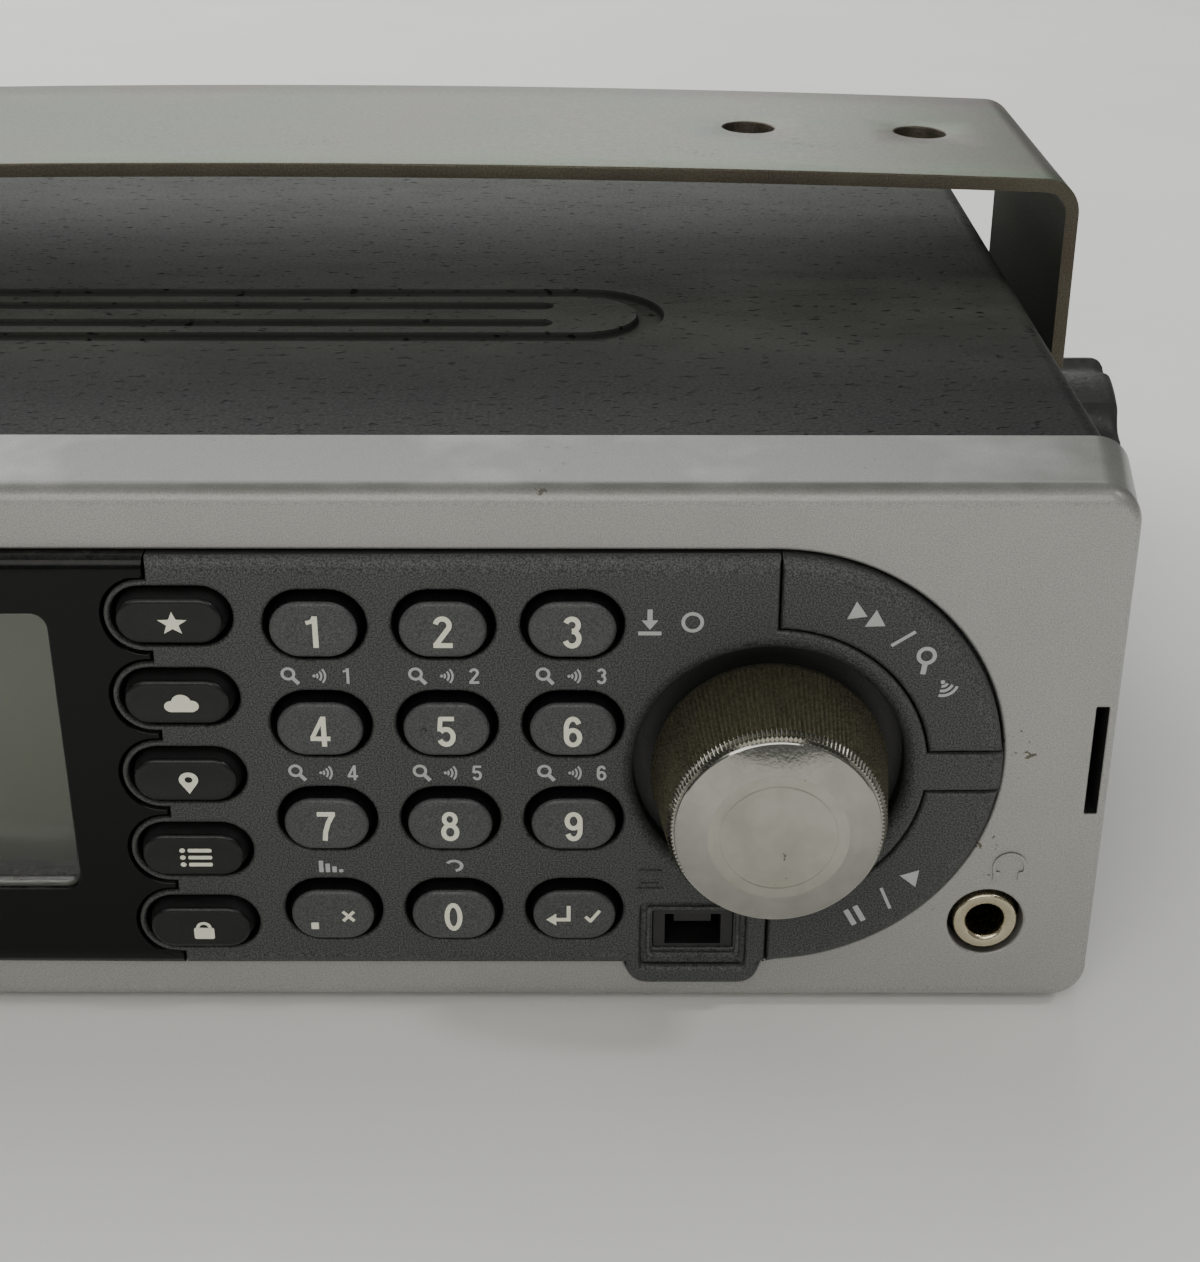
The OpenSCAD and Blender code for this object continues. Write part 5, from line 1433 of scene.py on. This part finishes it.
_, lows = plate(strap, [strapLoop] + reversedLoops(holeLoops), 0.0, strapLook["sheet"],
                   lambda p: (strapLook["edge"], strapLook["edge"]), 3, mark=1, faceMark=0,
                   inner=gridPoints, backFace=False)
strap.fill(lows, False, 0, gridPoints, strapLook["sheet"])
strap.soft = [True] * len(strap.soft)
strap.map(bendStrap)
# the sheared edge: rougher, with a brownish film
materials["shearedEdge"] = surfaceOf("shearedEdge", dict(
    tone="#4a433b", second="#5e5c4e", mottleMm=16, roughness=0.48, metallic=0.75, grainMm=0.25, bump=0.5,
    speckMm=0.2, speckDark="#352f29", speckLight="#77705f", speckShare=0.25))
makePiece("bracketStrap", strap, ["passivatedZinc", "shearedEdge"], body="bracket", nodes=["bracket"],
          sharpAngle=30)
print("stage: bracket")

# Thumb knobs: moulded grips on steel studs.

thumbLook = dict(r=14.0, thick=10.2, scallops=8, scallopR=3.6, scallopOut=2.2, stud=2.45)


def scalloped(r, angle):
    if r < thumbLook["r"] - 1.7:
        return r
    step = 2 * math.pi / thumbLook["scallops"]
    off = abs((angle + step / 2) % step - step / 2)
    far, near = thumbLook["r"] + thumbLook["scallopOut"], thumbLook["scallopR"]
    if far * math.sin(off) >= near:
        return r
    cut = far * math.cos(off) - math.sqrt(near ** 2 - (far * math.sin(off)) ** 2)
    return min(r, cut - (thumbLook["r"] - r) * 0.6)


for side, node in ((1, "thumb_knob_right"), (-1, "thumb_knob_left")):
    low, high = boxOf(node)
    outX = max(abs(low.x), abs(high.x))
    studIn = min(abs(low.x), abs(high.x))
    inX = outX - thumbLook["thick"]
    r = thumbLook["r"]
    shell = Shell()
    profile = ([(0.0, -outX + 1.7), (2.6, -outX + 1.6), (3.0, -outX + 1.5), (r - 5.2, -outX + 1.5)]
               + [(r - 4.6 + 0.8 * (1 - math.cos(t)), -outX + 0.8 - 0.8 * math.sin(t))
                  for t in (0.2, 0.7, 1.2, math.pi / 2)]
               + [(r - 1.4 + 1.4 * math.sin(t), -outX + 1.4 * (1 - math.cos(t)))
                  for t in (0.0, 0.35, 0.7, 1.05, 1.35, math.pi / 2)]
               + [(r, -inX - 2.0), (r - 0.3, -inX - 1.55), (r - 1.2, -inX - 1.3), (r - 4, -inX - 1.0),
                  (r - 4.2, -inX), (thumbLook["stud"] + 0.01, -inX), (0.0, -inX)])
    turned(shell, side * pivot.y, pivot.z, profile, 192, wobble=scalloped)
    stud = Shell()
    turned(stud, side * pivot.y, pivot.z, [(0.0, -inX - 0.5), (thumbLook["stud"], -inX - 0.5)]
           + [(thumbLook["stud"] - (0.22 if i % 2 else 0.0), -inX + 0.5 + 0.4 * i) for i in range(28)]
           + [(thumbLook["stud"] - 0.4, -studIn), (0.0, -studIn)], 32, 1)
    shell.add(stud)
    shell.map(lambda p: (-side * p.y, side * p.x, p.z))
    makePiece("thumbKnobRight" if side > 0 else "thumbKnobLeft", shell, ["gripPlastic", "zincSteel"],
              body=node, nodes=[node], sharpAngle=34)

# Screws in the sides of the case.

screwLook = dict(headR=2.8, headHigh=1.1, recess=1.5, recessW=0.62)
screw = Shell()
r, h = screwLook["headR"], screwLook["headHigh"]
cross = combine({"a": [barLoop(-screwLook["recess"], 0, screwLook["recess"], 0, screwLook["recessW"])],
                 "b": [barLoop(0, -screwLook["recess"], 0, screwLook["recess"], screwLook["recessW"])]},
                lambda inside: bool(inside))
topRing = screw.ring(circleLoop(0, 0, r * 0.72, 32), -h)
crossTop, crossLow = plate(screw, reversedLoops(cross), -h, -h + 0.65, lambda p: (0.05, 0.05), 1,
                           frontFace=False, backFace=False)
screw.fill([topRing] + crossTop, True)
screw.fill(crossLow, True)
last = topRing
for share in (0.25, 0.5, 0.75, 1.0):
    turn = share * math.pi / 2
    ring = screw.ring(circleLoop(0, 0, r * (0.72 + 0.28 * math.sin(turn)), 32),
                      -h + 0.75 * (1 - math.cos(turn)))
    screw.bridge(last, ring)
    last = ring
for radius, depth in ((r, 0.0), (1.5, 0.0), (1.5, 4.0)):
    ring = screw.ring(circleLoop(0, 0, radius, 32), depth)
    screw.bridge(last, ring)
    last = ring
screw.fill([last], False)
screw.map(lambda p: (p.x, p.z, -p.y))
spots = [((s * coverX, y, z), (s, 0, 0)) for s in (-1, 1) for y, z in screwSpots]
repeatPart("caseScrews", spotTree, partObject(screw), {}, "blackZinc", nodes=["case_screws"],
           spots=spots)
print("stage: thumb knobs and screws")

# Heat sink: extruded fins.

sinkLook = dict(fins=12, root=1.7, tip=1.25, plate=2.0)
sinkLow, sinkHigh = boxOf("heat_sink")
sinkPlate = Shell()
sinkBack = sinkLow.y + sinkLook["plate"]
plate(sinkPlate, [[(sinkLow.x, sinkLow.y), (sinkHigh.x, sinkLow.y), (sinkHigh.x, sinkBack),
                   (sinkLow.x, sinkBack)]], -sinkHigh.z, -sinkLow.z, lambda p: (0.25, 0.25), 3)
sinkPlate.map(lambda p: (p.x, p.z, -p.y))
makePiece("heatSinkPlate", sinkPlate, ["blackAnodised"], nodes=["heat_sink"])
fin = Shell()
root, tip, tall = sinkLook["root"] / 2, sinkLook["tip"] / 2, sinkHigh.y - sinkLow.y
finLoop = [(-root, 1.0), (root, 1.0)] + arcPoints(0, tall - tip, tip, 0, 180, 8)
plate(fin, [finLoop], -sinkHigh.z, -sinkLow.z, lambda p: (0.15, 0.15), 2)
fin.map(lambda p: (p.x, p.z, -p.y))
finStep = (sinkHigh.x - sinkLow.x - 1.6) / (sinkLook["fins"] - 1)
repeatPart("heatSinkFins", rowTree, partObject(fin), dict(
    Count=sinkLook["fins"], Start=((sinkLow.x + 0.8) * mm, sinkLow.y * mm, 0.0),
    Step=(finStep * mm, 0.0, 0.0)), "blackAnodised")
print("stage: heat sink")

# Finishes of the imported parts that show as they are.

slotFinish = dict(
    silver_paint="silverPaint", panel_plastic="speckledGrey", lens_black="blackAcrylic",
    clear_window="clearAcrylic", lcd="displayCell", black_plastic="blackPlastic", silicone="silicone",
    circuit_board="solderMask", key_plastic="keyGrey", function_plastic="blackKey",
    dark_knurl="darkAnodised", spun_aluminium="spunAluminium", nickel="nickelPlate",
    silver_knob="silverKnob", black_paint="powderCoat", rear_cast="castPaint",
    black_anodised="blackAnodised", tin_plate="tinPlate", cable_film="ribbonFilm",
    speaker_paper="conePaper", black_steel="blackZinc", zinc_steel="zincSteel",
    white_insulator="whiteInsulator", zinc_bracket="passivatedZinc", rubber="blackRubber",
    thumb_plastic="gripPlastic")
nodeFinish = {part["node"]: slotFinish[part["material_slot"]] for part in frame["record"]["subparts"]}
for name, node in frame["nodes"].items():
    node.data.materials.clear()
    node.data.materials.append(materials[nodeFinish[name]])
print("stage: packed parts dressed")

low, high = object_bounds()
